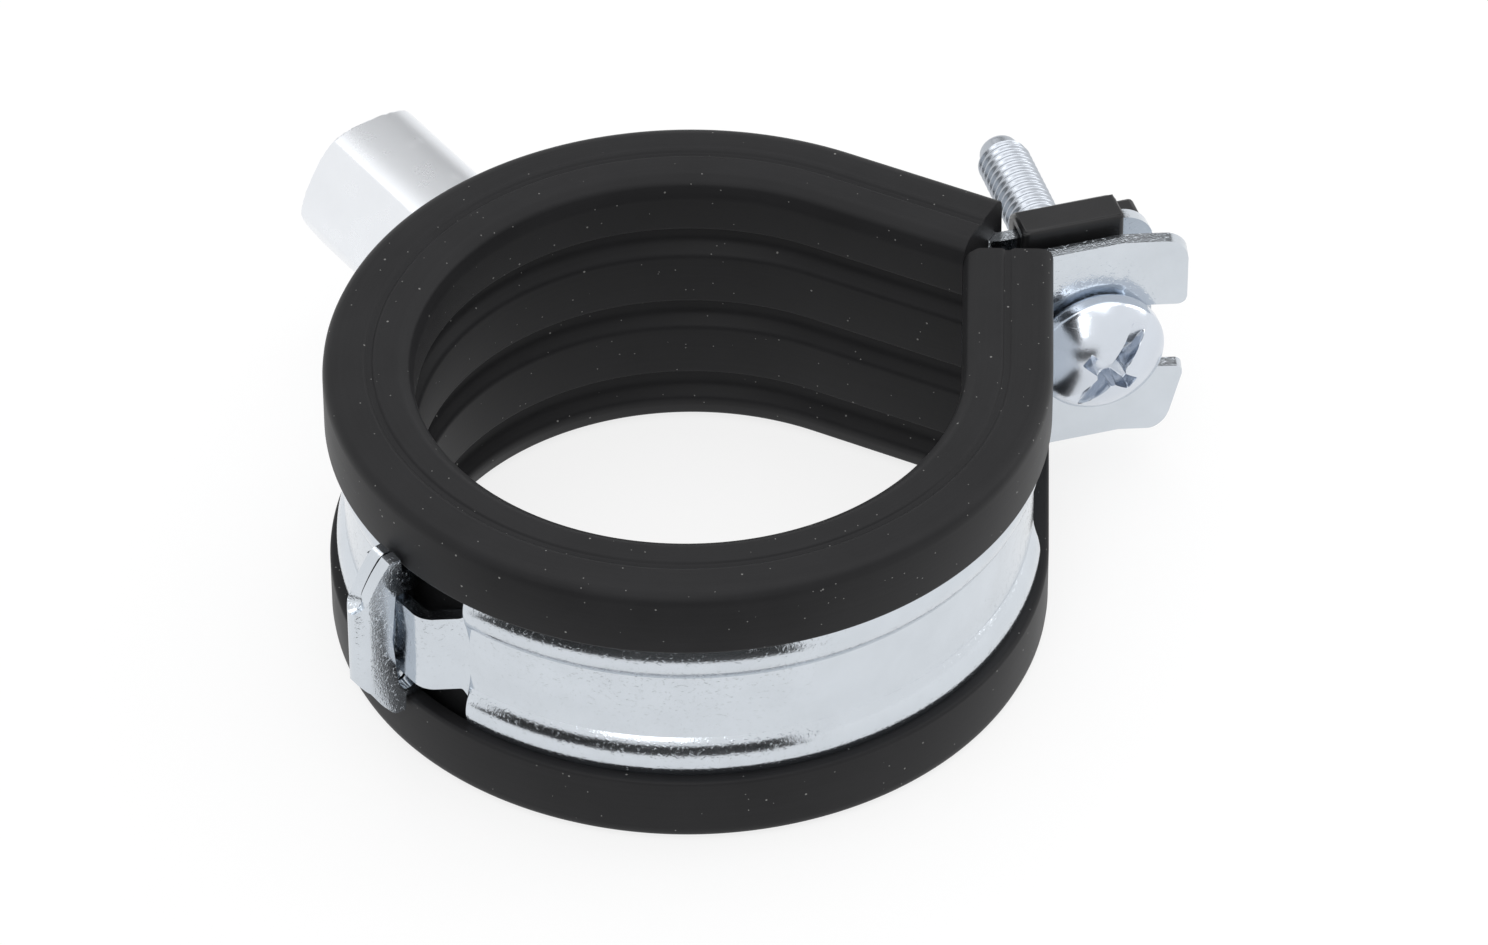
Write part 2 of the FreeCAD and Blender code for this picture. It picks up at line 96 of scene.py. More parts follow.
class RingSizes(bpy.types.PropertyGroup):
    """The ring: liner and strap sections, and where the shells begin and end."""
    bore: length("Bore radius", 23.7, "Radius of the liner's bore")
    hinge_az: turn("Hinge azimuth", 182.3, "Where the two shells hang together")
    rear_leave: turn("Rear leaves at", 27.5, "Where the rear shell runs straight on to the closure")
    front_leave: turn("Front leaves at", -37.0, "Where the front shell runs straight on to the closure")
    liner_half: length("Liner half width", 14.0, "Half of the liner's width along the pipe")
    liner_wall: length("Liner wall", 5.15, "Rubber under the strap")
    lip_edge: length("Lip edge", 7.4, "Half of the opening between the liner's lips")
    lip_out: length("Lip height", 7.9, "From the bore to the outside of the lips")
    groove_depth: length("Groove depth", 1.1, "Depth of the grooves in the bore")
    groove_pitch: length("Groove pitch", 8.3, "Distance between the grooves")
    sheet: length("Sheet", 1.25, "Thickness of the steel sheet")
    strap_in: length("Strap seat", 5.2, "From the bore to the inside of the strap")
    strap_half: length("Strap half width", 10.8, "Half of the strap's width")
    rib_in: length("Rib near edge", 3.4, "Height at which each rib starts")
    rib_out: length("Rib far edge", 8.0, "Height at which each rib ends")
    rib_height: length("Rib height", 0.8, "How far the ribs stand out")


class HingeSizes(bpy.types.PropertyGroup):
    """The folded flange of the rear strap and the tongue of the front strap."""
    flange_r: length("Flange radius", 36.4, "From the pipe's axis to the folded edge")
    flange_half: length("Flange half width", 8.6, "Half of the flange's width")
    flange_round: length("Flange outline", 12.6, "Radius of its rounded outline")
    hem_gap: length("Hem gap", 0.3, "Opening of the fold at its root")
    slot_half: length("Slot half width", 4.7, "Half of the slot that the tongue passes")
    tongue_r: length("Tongue radius", 31.675, "From the pipe's axis to the tongue's middle")
    tongue_half: length("Tongue half width", 4.0, "Half of the tongue's width")
    tongue_head: length("Tongue head", 6.5, "Half of the cross head behind the flange")
    bulb: length("Slot foot", 1.6, "How far the slot reaches on below the tongue")
    band_end: turn("Band end", 14.2, "From the hinge to the front band's full width")


class ClosureSizes(bpy.types.PropertyGroup):
    """The two ears, the screw with its nut, and the clip."""
    ear_az: turn("Ear azimuth", -19.0, "Direction in which the ears run out")
    front_ear: length("Front ear", 7.0, "Place of the front ear's near face along the screw")
    rear_ear: length("Rear ear", 10.4, "Place of the rear ear's near face along the screw")
    bend: length("Bend", 1.1, "Inner radius where the strap turns into an ear")
    screw_along: length("Screw place", 39.645, "From the pipe's axis to the screw's axis")
    slot: length("Slot half width", 2.8, "Half of the slots that the screw passes")
    travel: length("Slot travel", 1.1, "Spare length of the slots")
    crease: length("Crease", 2.5, "From the screw's axis to the crease of the wings")
    wing: length("Wing length", 5.7, "Length of the wings beyond the crease")
    wing_turn: turn("Wing turn", 13.0, "How far the wings are bent to the front")
    wing_slot: length("Wing slot", 3.6, "Half of the opening between the wings")
    dish_r: length("Dish radius", 6.6, "Radius of the seat pressed into the front ear")
    dish_depth: length("Dish depth", 1.1, "Depth of that seat")
    head_r: length("Head radius", 5.9, "Radius of the screw's head")
    head_ball: length("Head ball", 10.0, "Radius of the ball under the head")
    head_dome: length("Head dome", 3.0, "Height of the dome")
    head_rim: length("Head rim", 1.2, "Height of the head's side")
    thread_r: length("Thread radius", 2.45, "Outer radius of the screw's thread")
    thread_pitch: length("Thread pitch", 0.8, "Pitch of the screw's thread")
    screw_length: length("Screw length", 27.5, "From the seat to the screw's tip")
    drive_az: turn("Slot direction", 50.0, "Direction of the screwdriver slot")
    drive_half: length("Drive half width", 0.7, "Half of the screwdriver slot's width")


class NutSizes(bpy.types.PropertyGroup):
    """The hexagon nut on the rear shell."""
    across: length("Across flats", 13.9, "Width across the flats")
    end: length("Nut end", 50.4, "From the pipe's axis to the nut's end")
    corner: length("Corner", 0.9, "How far the corners are turned down at the end")
    outer_core: length("Outer thread core", 4.25, "Core radius of the thread at the end")
    outer_depth: length("Outer thread depth", 9.0, "Depth of the thread at the end")
    inner_core: length("Inner thread core", 3.4, "Core radius of the thread behind it")
    mouth: length("Mouth bevel", 0.8, "Bevel of the mouth")


class Finishes(bpy.types.PropertyGroup):
    """Base colours."""
    sheet_zinc: colour("Sheet", 0.60, 0.64, 0.685, "Zinc plated sheet")
    nut_zinc: colour("Connection nut", 0.78, 0.80, 0.83, "Zinc plated turned steel")
    screw_zinc: colour("Screw", 0.62, 0.66, 0.72, "Zinc plated screw with a blue tinge")
    rubber: colour("Rubber", 0.018, 0.018, 0.0192, "Black extruded rubber")
    plastic: colour("Clip", 0.014, 0.014, 0.015, "Black moulded plastic")
    floor: colour("Floor", 0.2, 0.2, 0.2, "Studio floor")


GROUPS = {
    "clamp_ring": RingSizes,
    "clamp_hinge": HingeSizes,
    "clamp_closure": ClosureSizes,
    "clamp_nut": NutSizes,
    "clamp_finish": Finishes,
}


def sizes_of(group):
    """A group's sizes as plain numbers, with lengths in millimetres and angles in degrees."""
    values = {}
    for key in type(group).__annotations__:
        value = getattr(group, key)
        unit = group.bl_rna.properties[key].unit
        if unit == "LENGTH":
            value *= 1000
        elif unit == "ROTATION":
            value = math.degrees(value)
        values[key] = value
    return types.SimpleNamespace(**values)


def all_sizes(scene):
    """The sizes of the ring, the hinge, the closure and the nut."""
    return [sizes_of(getattr(scene, key)) for key in list(GROUPS)[:4]]


# Lines and grids, in millimetres

def heading(az):
    """The unit vector in the ring's plane at an azimuth in degrees from +X towards +Y."""
    angle = np.radians(az)
    return np.stack([np.cos(angle), np.sin(angle)], axis=-1)


def crossing(start, way, other, other_way):
    """The point where two lines of the plane meet, from the ratio of two cross products."""
    step = other - start
    turn_of = way[0] * other_way[1] - way[1] * other_way[0]
    return start + way * ((step[0] * other_way[1] - step[1] * other_way[0]) / turn_of)


def rise_of(ball, radius):
    """How far a ball falls back from its pole: its radius less the root of the difference of squares."""
    return ball - np.sqrt(np.maximum(ball ** 2 - radius ** 2, 0))


def ball_of(radius, depth):
    """The radius of the ball that a cap is cut from: the sum of the squares of the cap's radius and depth,
    over twice the depth."""
    return (radius ** 2 + depth ** 2) / (2 * depth)


def smooth_step(low, high, value):
    """Zero below low, one above high, and three t squared less two t cubed between them."""
    t = np.clip((value - low) / (high - low), 0, 1)
    return t * t * (3 - 2 * t)


def arc_line(radius, start_az, end_az, step=0.04):
    """Points of a circle about the pipe: its radius times the heading, at even steps of arc."""
    count = max(2, int(abs(end_az - start_az) * math.pi / 180 * radius / step))
    return radius * heading(np.linspace(start_az, end_az, count))


def bent_line(corners, radii, step=0.04):
    """A chain of straight runs with a round bend of its own radius at each inner corner.

    A bend's points are its centre plus the spherical mean of the two spokes, weighted by sines."""
    corners = [np.array(corner, float) for corner in corners]
    pieces = [corners[0][None]]
    for before, corner, after, radius in zip(corners, corners[1:], corners[2:], radii):
        back = (before - corner) / np.linalg.norm(before - corner)
        on = (after - corner) / np.linalg.norm(after - corner)
        half = math.acos(np.clip(back @ on, -1, 1)) / 2
        swing = math.pi - 2 * half
        middle = (back + on) / np.linalg.norm(back + on)
        centre = corner + middle * radius / math.sin(half)
        first = corner + back * radius / math.tan(half) - centre
        last = corner + on * radius / math.tan(half) - centre
        t = np.linspace(0, 1, max(4, int(radius * swing / step)))[:, None]
        pieces.append(centre + (np.sin((1 - t) * swing) * first + np.sin(t * swing) * last) / math.sin(swing))
    pieces.append(corners[-1][None])
    return np.concatenate(pieces)


def filled(points, step=0.25):
    """The same line with points added, evenly along it, so that none are further apart than a step."""
    gaps = np.linalg.norm(np.diff(points, axis=0), axis=1)
    keep = np.concatenate([[True], gaps > 1e-6])
    points = points[keep]
    along = np.concatenate([[0], np.cumsum(np.linalg.norm(np.diff(points, axis=0), axis=1))])
    more = np.union1d(along, np.linspace(0, along[-1], int(along[-1] / step) + 2))
    more = more[np.concatenate([[True], np.diff(more) > 1e-4])]
    return np.stack([np.interp(more, along, points[:, axis]) for axis in (0, 1)], axis=1)


class Track:
    """A line in the ring's plane with its length, and the normals on its right hand."""

    def __init__(self, points):
        self.points = filled(points)
        self.along = np.concatenate([[0], np.cumsum(np.linalg.norm(np.diff(self.points, axis=0), axis=1))])
        way = np.gradient(self.points, self.along, axis=0, edge_order=2)
        way /= np.linalg.norm(way, axis=1)[:, None]
        self.right = np.stack([way[:, 1], -way[:, 0]], axis=1)
        self.end = self.along[-1]

    def place(self, s, out, z):
        """The point at length s, plus its normal times out, at height z."""
        spot = [np.interp(s, self.along, self.points[:, axis]) for axis in (0, 1)]
        side = [np.interp(s, self.along, self.right[:, axis]) for axis in (0, 1)]
        return np.stack([spot[0] + side[0] * out, spot[1] + side[1] * out, z + 0 * spot[0]], axis=-1)

    def nearest(self, point):
        """The length at which the line comes nearest to a point."""
        return self.along[np.argmin(np.linalg.norm(self.points - point, axis=1))]


def rounded_loop(corners, count=6, closed=True):
    """A chain of corners with each one rounded: a quadratic curve from its reach before the corner to its
    reach after it, with the corner as the middle control point. A corner is (first, second, reach)."""
    corners = np.array(corners, float)
    point, reach = corners[:, :2], corners[:, 2]
    before, after = np.roll(point, 1, axis=0), np.roll(point, -1, axis=0)
    back, on = before - point, after - point
    back_length, on_length = np.linalg.norm(back, axis=1), np.linalg.norm(on, axis=1)
    fit = np.minimum(reach, 0.49 * np.minimum(back_length, on_length))[:, None]
    start = point + back / back_length[:, None] * fit
    stop = point + on / on_length[:, None] * fit
    t = np.linspace(0, 1, count)[None, :, None]
    curve = (1 - t) ** 2 * start[:, None] + 2 * t * (1 - t) * point[:, None] + t ** 2 * stop[:, None]
    if not closed:
        return np.concatenate([point[:1], curve[1:-1].reshape(-1, 2), point[-1:]])
    return curve.reshape(-1, 2)


def grid_faces(rows, columns, first=0, wrap_rows=False, wrap_columns=False):
    """The four corners of each cell of a grid of points that is numbered row by row."""
    index = first + np.arange(rows * columns).reshape(rows, columns)
    if wrap_rows:
        index = np.vstack([index, index[:1]])
    if wrap_columns:
        index = np.hstack([index, index[:, :1]])
    return np.stack([index[:-1, :-1], index[1:, :-1], index[1:, 1:], index[:-1, 1:]], axis=-1).reshape(-1, 4)


def ribbon(one, other):
    """The cells between two rows of point numbers of the same length."""
    return np.stack([one[:-1], one[1:], other[1:], other[:-1]], axis=-1)


def add_object(name, data):
    """A new object of the scene, at the origin."""
    made = bpy.data.objects.new(name, data)
    bpy.context.scene.collection.objects.link(made)
    return made


def make_piece(name, points, faces, uv=None, sharp=35.0):
    """A mesh in metres from points in millimetres, with doubles merged and its faces turned outwards."""
    mesh = bpy.data.meshes.new(name)
    mesh.from_pydata((np.asarray(points) / 1000).tolist(), [], [tuple(face) for face in faces])
    if uv is not None:
        corner = np.empty(len(mesh.loops), np.int32)
        mesh.loops.foreach_get("vertex_index", corner)
        layer = mesh.uv_layers.new(name="surface")
        layer.data.foreach_set("uv", (np.asarray(uv) / 1000)[corner].astype(np.float32).ravel())
    close_and_turn(mesh, sharp)
    return add_object(name, mesh)


def close_and_turn(mesh, sharp):
    """Merges doubles, drops faces that have no area, turns faces outwards and marks the sharp edges."""
    work = bmesh.new()
    work.from_mesh(mesh)
    bmesh.ops.remove_doubles(work, verts=work.verts, dist=2e-7)
    bmesh.ops.dissolve_degenerate(work, dist=2e-7, edges=work.edges)
    bmesh.ops.recalc_face_normals(work, faces=work.faces)
    work.to_mesh(mesh)
    work.free()
    mesh.shade_smooth()
    mesh.set_sharp_from_angle(angle=math.radians(sharp))


def soften(piece, width, segments=2, limit=50.0, clamp=True):
    """A small live bevel on the sharp edges, the same in the viewport and in renders. With clamp, no edge's
    bevel is wider than the room that its neighbours leave."""
    bevel = piece.modifiers.new("soft_edges", "BEVEL")
    bevel.width = width / 1000
    bevel.segments = segments
    bevel.limit_method = "ANGLE"
    bevel.angle_limit = math.radians(limit)
    bevel.harden_normals = False
    bevel.use_clamp_overlap = clamp


def merged_copy(node, name, width, clamp=True):
    """A copy of a CAD node with its loose triangles joined, flat parts dissolved and a small bevel."""
    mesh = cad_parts[node].data.copy()
    mesh.name = name
    mesh.materials.clear()
    work = bmesh.new()
    work.from_mesh(mesh)
    bmesh.ops.remove_doubles(work, verts=work.verts, dist=2e-6)
    bmesh.ops.dissolve_limit(work, angle_limit=math.radians(0.5), verts=work.verts, edges=work.edges)
    work.to_mesh(mesh)
    work.free()
    mesh.shade_smooth()
    mesh.set_sharp_from_angle(angle=math.radians(35))
    piece = add_object(name, mesh)
    soften(piece, width, segments=3, clamp=clamp)
    return piece


# The ring

def tangents(ring):
    """The two straight runs of the bore: start, outward heading, way, and length to where they meet."""
    rear = ring.bore * heading(ring.rear_leave)
    front = ring.bore * heading(ring.front_leave)
    rear_way, front_way = heading(ring.rear_leave - 90), heading(ring.front_leave + 90)
    meet = crossing(rear, rear_way, front, front_way)
    return ((rear, rear_way, (meet - rear) @ rear_way), (front, front_way, (meet - front) @ front_way))


def liner_profile(ring):
    """The liner's closed section, a loop of corners given as (offset from the bore, height, rounding): sloped
    rims with a fine line on top, lips that hold the strap, and grooves that rise from the bore in a slope and
    end in a step."""
    # The strap's play between the lips, the height of the fine line, and the thickness of the lips
    strap_play, line_height, lip_width = 0.05, 0.03, 1.4
    top, lip, edge = ring.liner_half, ring.lip_out, ring.lip_edge
    wall, channel = ring.liner_wall, ring.strap_half + strap_play
    level = top - line_height
    side = [(0, top - 2.05, 0.3), (0.35, top - 0.7, 0.3), (1.35, level, 0.35), (3.45, level, 0.15),
            (3.65, top - 0.26, 0.1), (4.1, top - 0.26, 0.1), (4.4, top, 0.2), (4.9, level, 0.2),
            (lip, level, 1.3), (lip, edge, 0.4), (lip - lip_width, edge, 0.1),
            (lip - lip_width, channel, 0.1), (wall, channel, 0.1)]
    low_side = [(offset, -z, soft) for offset, z, soft in reversed(side)]
    grooves = []
    for upper in (-ring.groove_pitch, 0, ring.groove_pitch):
        grooves += [(0, upper - 3.0, 0.4), (ring.groove_depth, upper - 1.9, 0.6),
                    (ring.groove_depth, upper, 0.3), (0, upper, 0.35)]
    return rounded_loop(side + low_side + grooves)


def swept_liner(name, ring, track):
    """The section carried along the bore: each row is the track's point plus the section's offset along the
    outward normal. The ends are closed by the section itself."""
    section = liner_profile(ring)
    rows = np.linspace(0, track.end, 200)
    s, offset = np.meshgrid(rows, section[:, 0], indexing="ij")
    z = np.broadcast_to(section[:, 1], s.shape)
    points = track.place(s, offset, z)
    count = len(section)
    run = np.concatenate([[0], np.cumsum(np.linalg.norm(np.diff(section, axis=0), axis=1))])
    uv = np.stack([s, np.broadcast_to(run, s.shape)], axis=-1).reshape(-1, 2)
    faces = grid_faces(len(rows), count, wrap_columns=True).tolist()
    faces += [list(range(count)), list(range((len(rows) - 1) * count, len(rows) * count))]
    return make_piece(name, points.reshape(-1, 3), faces, uv)


def rib_relief(ring, z):
    """Height of the two ribs: on each, a circular arc over its chord, by the sagitta."""
    half = (ring.rib_out - ring.rib_in) / 2
    ball = ball_of(half, ring.rib_height)
    off = np.abs(np.abs(z) - (ring.rib_in + ring.rib_out) / 2)
    return np.where(off < half, ring.rib_height - rise_of(ball, np.minimum(off, half)), 0)


def strap_columns(ring):
    """Heights of a strap's columns on one side, from its middle to its edge, dense over the rib."""
    inner = np.linspace(0, ring.rib_in, 6)[:-1]
    rib = np.linspace(ring.rib_in, ring.rib_out, 19)[:-1]
    return np.concatenate([inner, rib, np.linspace(ring.rib_out, ring.strap_half, 8)])


def sheet_piece(name, ring, track, rows, half, opening, relief, shift=None):
    """A strip of sheet steel along a track, as an upper and a lower half. Of the functions that it is given,
    half says the half width at a length, opening the half opening at a length on one side, and relief how
    far the sheet stands out at a length and height.

    Each half's heights run from the opening to the half width, in the strap's own columns. The two faces are
    the track's points plus and minus half the sheet along the normal, both raised by the relief. Where there
    is no opening the halves join along their middle line. Shift, if given, moves points along the track."""
    least_width = 0.3
    share = strap_columns(ring) / ring.strap_half
    points, faces, uv, count = [], [], [], 0
    for side in (1, -1):
        high = half(rows)
        low = np.minimum(opening(rows, side), high - least_width)
        z = low[:, None] + (high - low)[:, None] * share
        s = np.broadcast_to(rows[:, None], z.shape)
        s = shift(s, side * z) if shift else s
        lift = relief(s, side * z)
        skins = [track.place(s, lift + face * ring.sheet / 2, side * z) for face in (1, -1)]
        lines, columns = z.shape
        numbers = [count + layer * lines * columns + np.arange(lines * columns).reshape(lines, columns)
                   for layer in (0, 1)]
        for skin, number in zip(skins, numbers):
            points.append(skin.reshape(-1, 3))
            uv.append(np.stack([s, side * z], axis=-1).reshape(-1, 2))
            faces.append(grid_faces(lines, columns, number[0, 0]))
        faces += [ribbon(numbers[0][row], numbers[1][row]) for row in (0, -1)]
        faces.append(ribbon(numbers[0][:, -1], numbers[1][:, -1]))
        open_here = (low[:-1] > 1e-6) | (low[1:] > 1e-6)
        faces.append(ribbon(numbers[0][:, 0], numbers[1][:, 0])[open_here])
        count += 2 * lines * columns
    piece = make_piece(name, np.concatenate(points), np.concatenate(faces).tolist(), np.concatenate(uv))
    soften(piece, width=0.16, limit=60)
    return piece


def closed_slot(along, low, high, half):
    """Half height of a round ended slot: the half width, falling at each end as a circle."""
    over = np.maximum(np.maximum(low - along, along - high), 0)
    return np.sqrt(np.maximum(half ** 2 - over ** 2, 0))


def corner_fall(along, end, radius):
    """How far a rounded corner has fallen: the radius less the root of the difference of squares."""
    over = np.clip(along - (end - radius), 0, radius)
    return radius - np.sqrt(np.maximum(radius ** 2 - over ** 2, 0))


def fine_rows(track, *ranges):
    """Rows along a track, every 0.55 mm, and closer together over the given ranges of (from, to, step). Rows
    less than 0.012 mm behind another are left out."""
    rows = [np.linspace(0, track.end, int(track.end / 0.55) + 2)]
    rows += [np.linspace(low, high, max(2, int((high - low) / step) + 1)) for low, high, step in ranges]
    rows = np.unique(np.concatenate(rows).clip(0, track.end))
    return rows[np.concatenate([[True], np.diff(rows) > 0.012])]


def ear_frame(closure):
    """The two unit vectors of the ears: out along them, and through them along the screw."""
    return heading(closure.ear_az), heading(closure.ear_az + 90)


def ear_turn(ring, closure, straight, leave_az, ear):
    """Where a strap turns into its ear: a point of the ear's middle plane, the strap's last straight point
    with its way, and the corner in which the two lines meet."""
    spare = 0.1
    start, way, run = straight
    along, across = ear_frame(closure)
    ear_middle = across * (ear + ring.sheet / 2)
    room = closure.bend + ring.sheet
    last = start + heading(leave_az) * (ring.strap_in + ring.sheet / 2) + way * (run - spare - room)
    return ear_middle, last, crossing(last, way, ear_middle, along)


def rear_strap_piece(ring, hinge, closure):
    """The rear strap in one strip: rear ear, bend, straight run, ring, flange out, fold and flange in.

    The half width is the strap's, less the fall of the ear's corners, and on the flange a circle's: the root
    of its radius squared less the square of the height over its centre. The openings are the ear's slot and,
    in the flange, the gap for the tongue, which an ellipse widens on the lower side."""
    # The ear's reach beyond the screw, its corners' radius, and a length of track within which its slot ends
    ear_reach, ear_corner, ear_part = 6.4, 3.2, 20
    # Degrees before the hinge at which the ring ends, and after the straight run at which the ribs start
    ring_stop_az, rib_start_az = 2.6, 4.2
    # The ribs' end before the flange's foot, and how far they fade beyond and within their ends
    rib_stop, fade_beyond, fade_within = 2.4, 1.5, 1
    # The foot's bend, half the gap between the leaves, and the gap between the inner leaf and the ring
    foot_bend, leaf_play, root_play = 0.75, 0.02, 0.15
    # Room about the tongue and about the liner's lips
    tongue_play, lip_play = 0.32, 0.35
    # Where the flange's own width starts behind the foot, and the half width that is left at the fold
    flange_start, least_half = 0.6, 0.6
    along, _ = ear_frame(closure)
    ear_middle, turn_point, corner = ear_turn(ring, closure, tangents(ring)[0], ring.rear_leave,
                                              closure.rear_ear)
    mid_r = ring.bore + (ring.strap_in + ring.sheet / 2)
    ear_end = closure.screw_along + ear_reach
    ear = bent_line([ear_middle + along * ear_end, corner, turn_point], [closure.bend + ring.sheet / 2])
    ring_line = arc_line(mid_r, ring.rear_leave, ring.hinge_az - ring_stop_az)
    away, past = heading(ring.hinge_az), heading(ring.hinge_az - 90)
    leaf = ring.sheet / 2 + leaf_play
    t = np.linspace(0, np.pi, 14)[:, None]
    fold_line = away * (hinge.flange_r - ring.sheet) + past * leaf * np.cos(t) + away * leaf * np.sin(t)
    foot = crossing(ring_line[-1], ring_line[-1] - ring_line[-2], past * leaf, away)
    flange = bent_line([ring_line[-2], foot, fold_line[0]], [foot_bend])
    root_r = ring.bore + ring.strap_in + ring.sheet + root_play
    tip = away * root_r - past * (hinge.hem_gap + ring.sheet / 2)
    track = Track(np.concatenate([ear, ring_line[:-2], flange, fold_line, tip[None]]))
    fold_s, foot_s = track.nearest(fold_line[7]), track.nearest(foot)
    first_rib, last_rib = track.nearest(mid_r * heading(ring.rear_leave + rib_start_az)), foot_s - rib_stop
    radius_at = np.linalg.norm(track.points, axis=1)
    window = (hinge.tongue_r - ring.sheet / 2 - tongue_play, hinge.tongue_r + ring.sheet / 2 + tongue_play)
    lip_r = ring.bore + ring.lip_out + lip_play
    ear_at = ear_end - track.along

    def half(s):
        """The strap's half width, then on the flange the circle's, with a waist between the liner's lips."""
        width = ring.strap_half - corner_fall(np.interp(s, track.along, ear_at), ear_end, ear_corner)
        r = np.interp(s, track.along, radius_at)
        over = r - hinge.flange_r + hinge.flange_round
        outline = np.minimum(np.sqrt(np.maximum(hinge.flange_round ** 2 - over ** 2, 0)), hinge.flange_half)
        outline = np.where(r < lip_r, ring.lip_edge - lip_play, outline)
        return np.where(s > foot_s + flange_start, np.maximum(outline, least_half), width)

    def opening(s, side):
        """The ear's slot, and on both leaves of the flange the gap for the tongue."""
        in_ear = np.interp(s, track.along, ear_at)
        low, high = closure.screw_along, closure.screw_along + closure.travel
        slot = np.where(s < ear_part, closed_slot(in_ear, low, high, closure.slot), 0)
        r = np.interp(s, track.along, radius_at)
        gate = (s > foot_s) & (s < fold_s) & (r > window[0]) & (r < window[1])
        throat = (s > fold_s) & (r < window[1])
        bulge = np.sqrt(np.maximum(1 - ((r - hinge.tongue_r) / (window[1] - hinge.tongue_r)) ** 2, 0))
        return np.where(gate | throat, hinge.slot_half + hinge.bulb * bulge * (side < 0), slot)

    def relief(s, z):
        """The ribs, faded in and out by smooth steps."""
        begun = smooth_step(first_rib - fade_beyond, first_rib + fade_within, s)
        ended = smooth_step(last_rib - fade_within, last_rib + fade_beyond, s)
        return rib_relief(ring, z) * (begun * (1 - ended))

    def row_at(leaf_rows, radius):
        """The length at which one leaf of the flange is nearest to a radius."""
        return track.along[leaf_rows][np.argmin(np.abs(radius_at[leaf_rows] - radius))]

    outward, inward = (track.along > foot_s) & (track.along < fold_s), track.along > fold_s
    gate_s, throat_s = [row_at(outward, r) for r in window], row_at(inward, window[1])
    edges = [*gate_s, throat_s, row_at(outward, lip_r), row_at(inward, lip_r)]
    close = [(edge - 0.02, edge + 0.02, 0.02) for edge in edges]
    close += [(min(gate_s), max(gate_s), 0.1), (throat_s, throat_s + 1.9, 0.1)]
    low, high = ear_end - closure.screw_along - closure.travel, ear_end - closure.screw_along
    rows = fine_rows(track, (0, 3.3, 0.2), (low - closure.slot - 0.1, low, 0.12),
                     (high, high + closure.slot + 0.1, 0.12), (foot_s - 2, foot_s + 1.5, 0.12),
                     (fold_s - 2.5, fold_s + 2.5, 0.12), *close)
    return sheet_piece("rear_strap_steel", ring, track, rows, half, opening, relief)


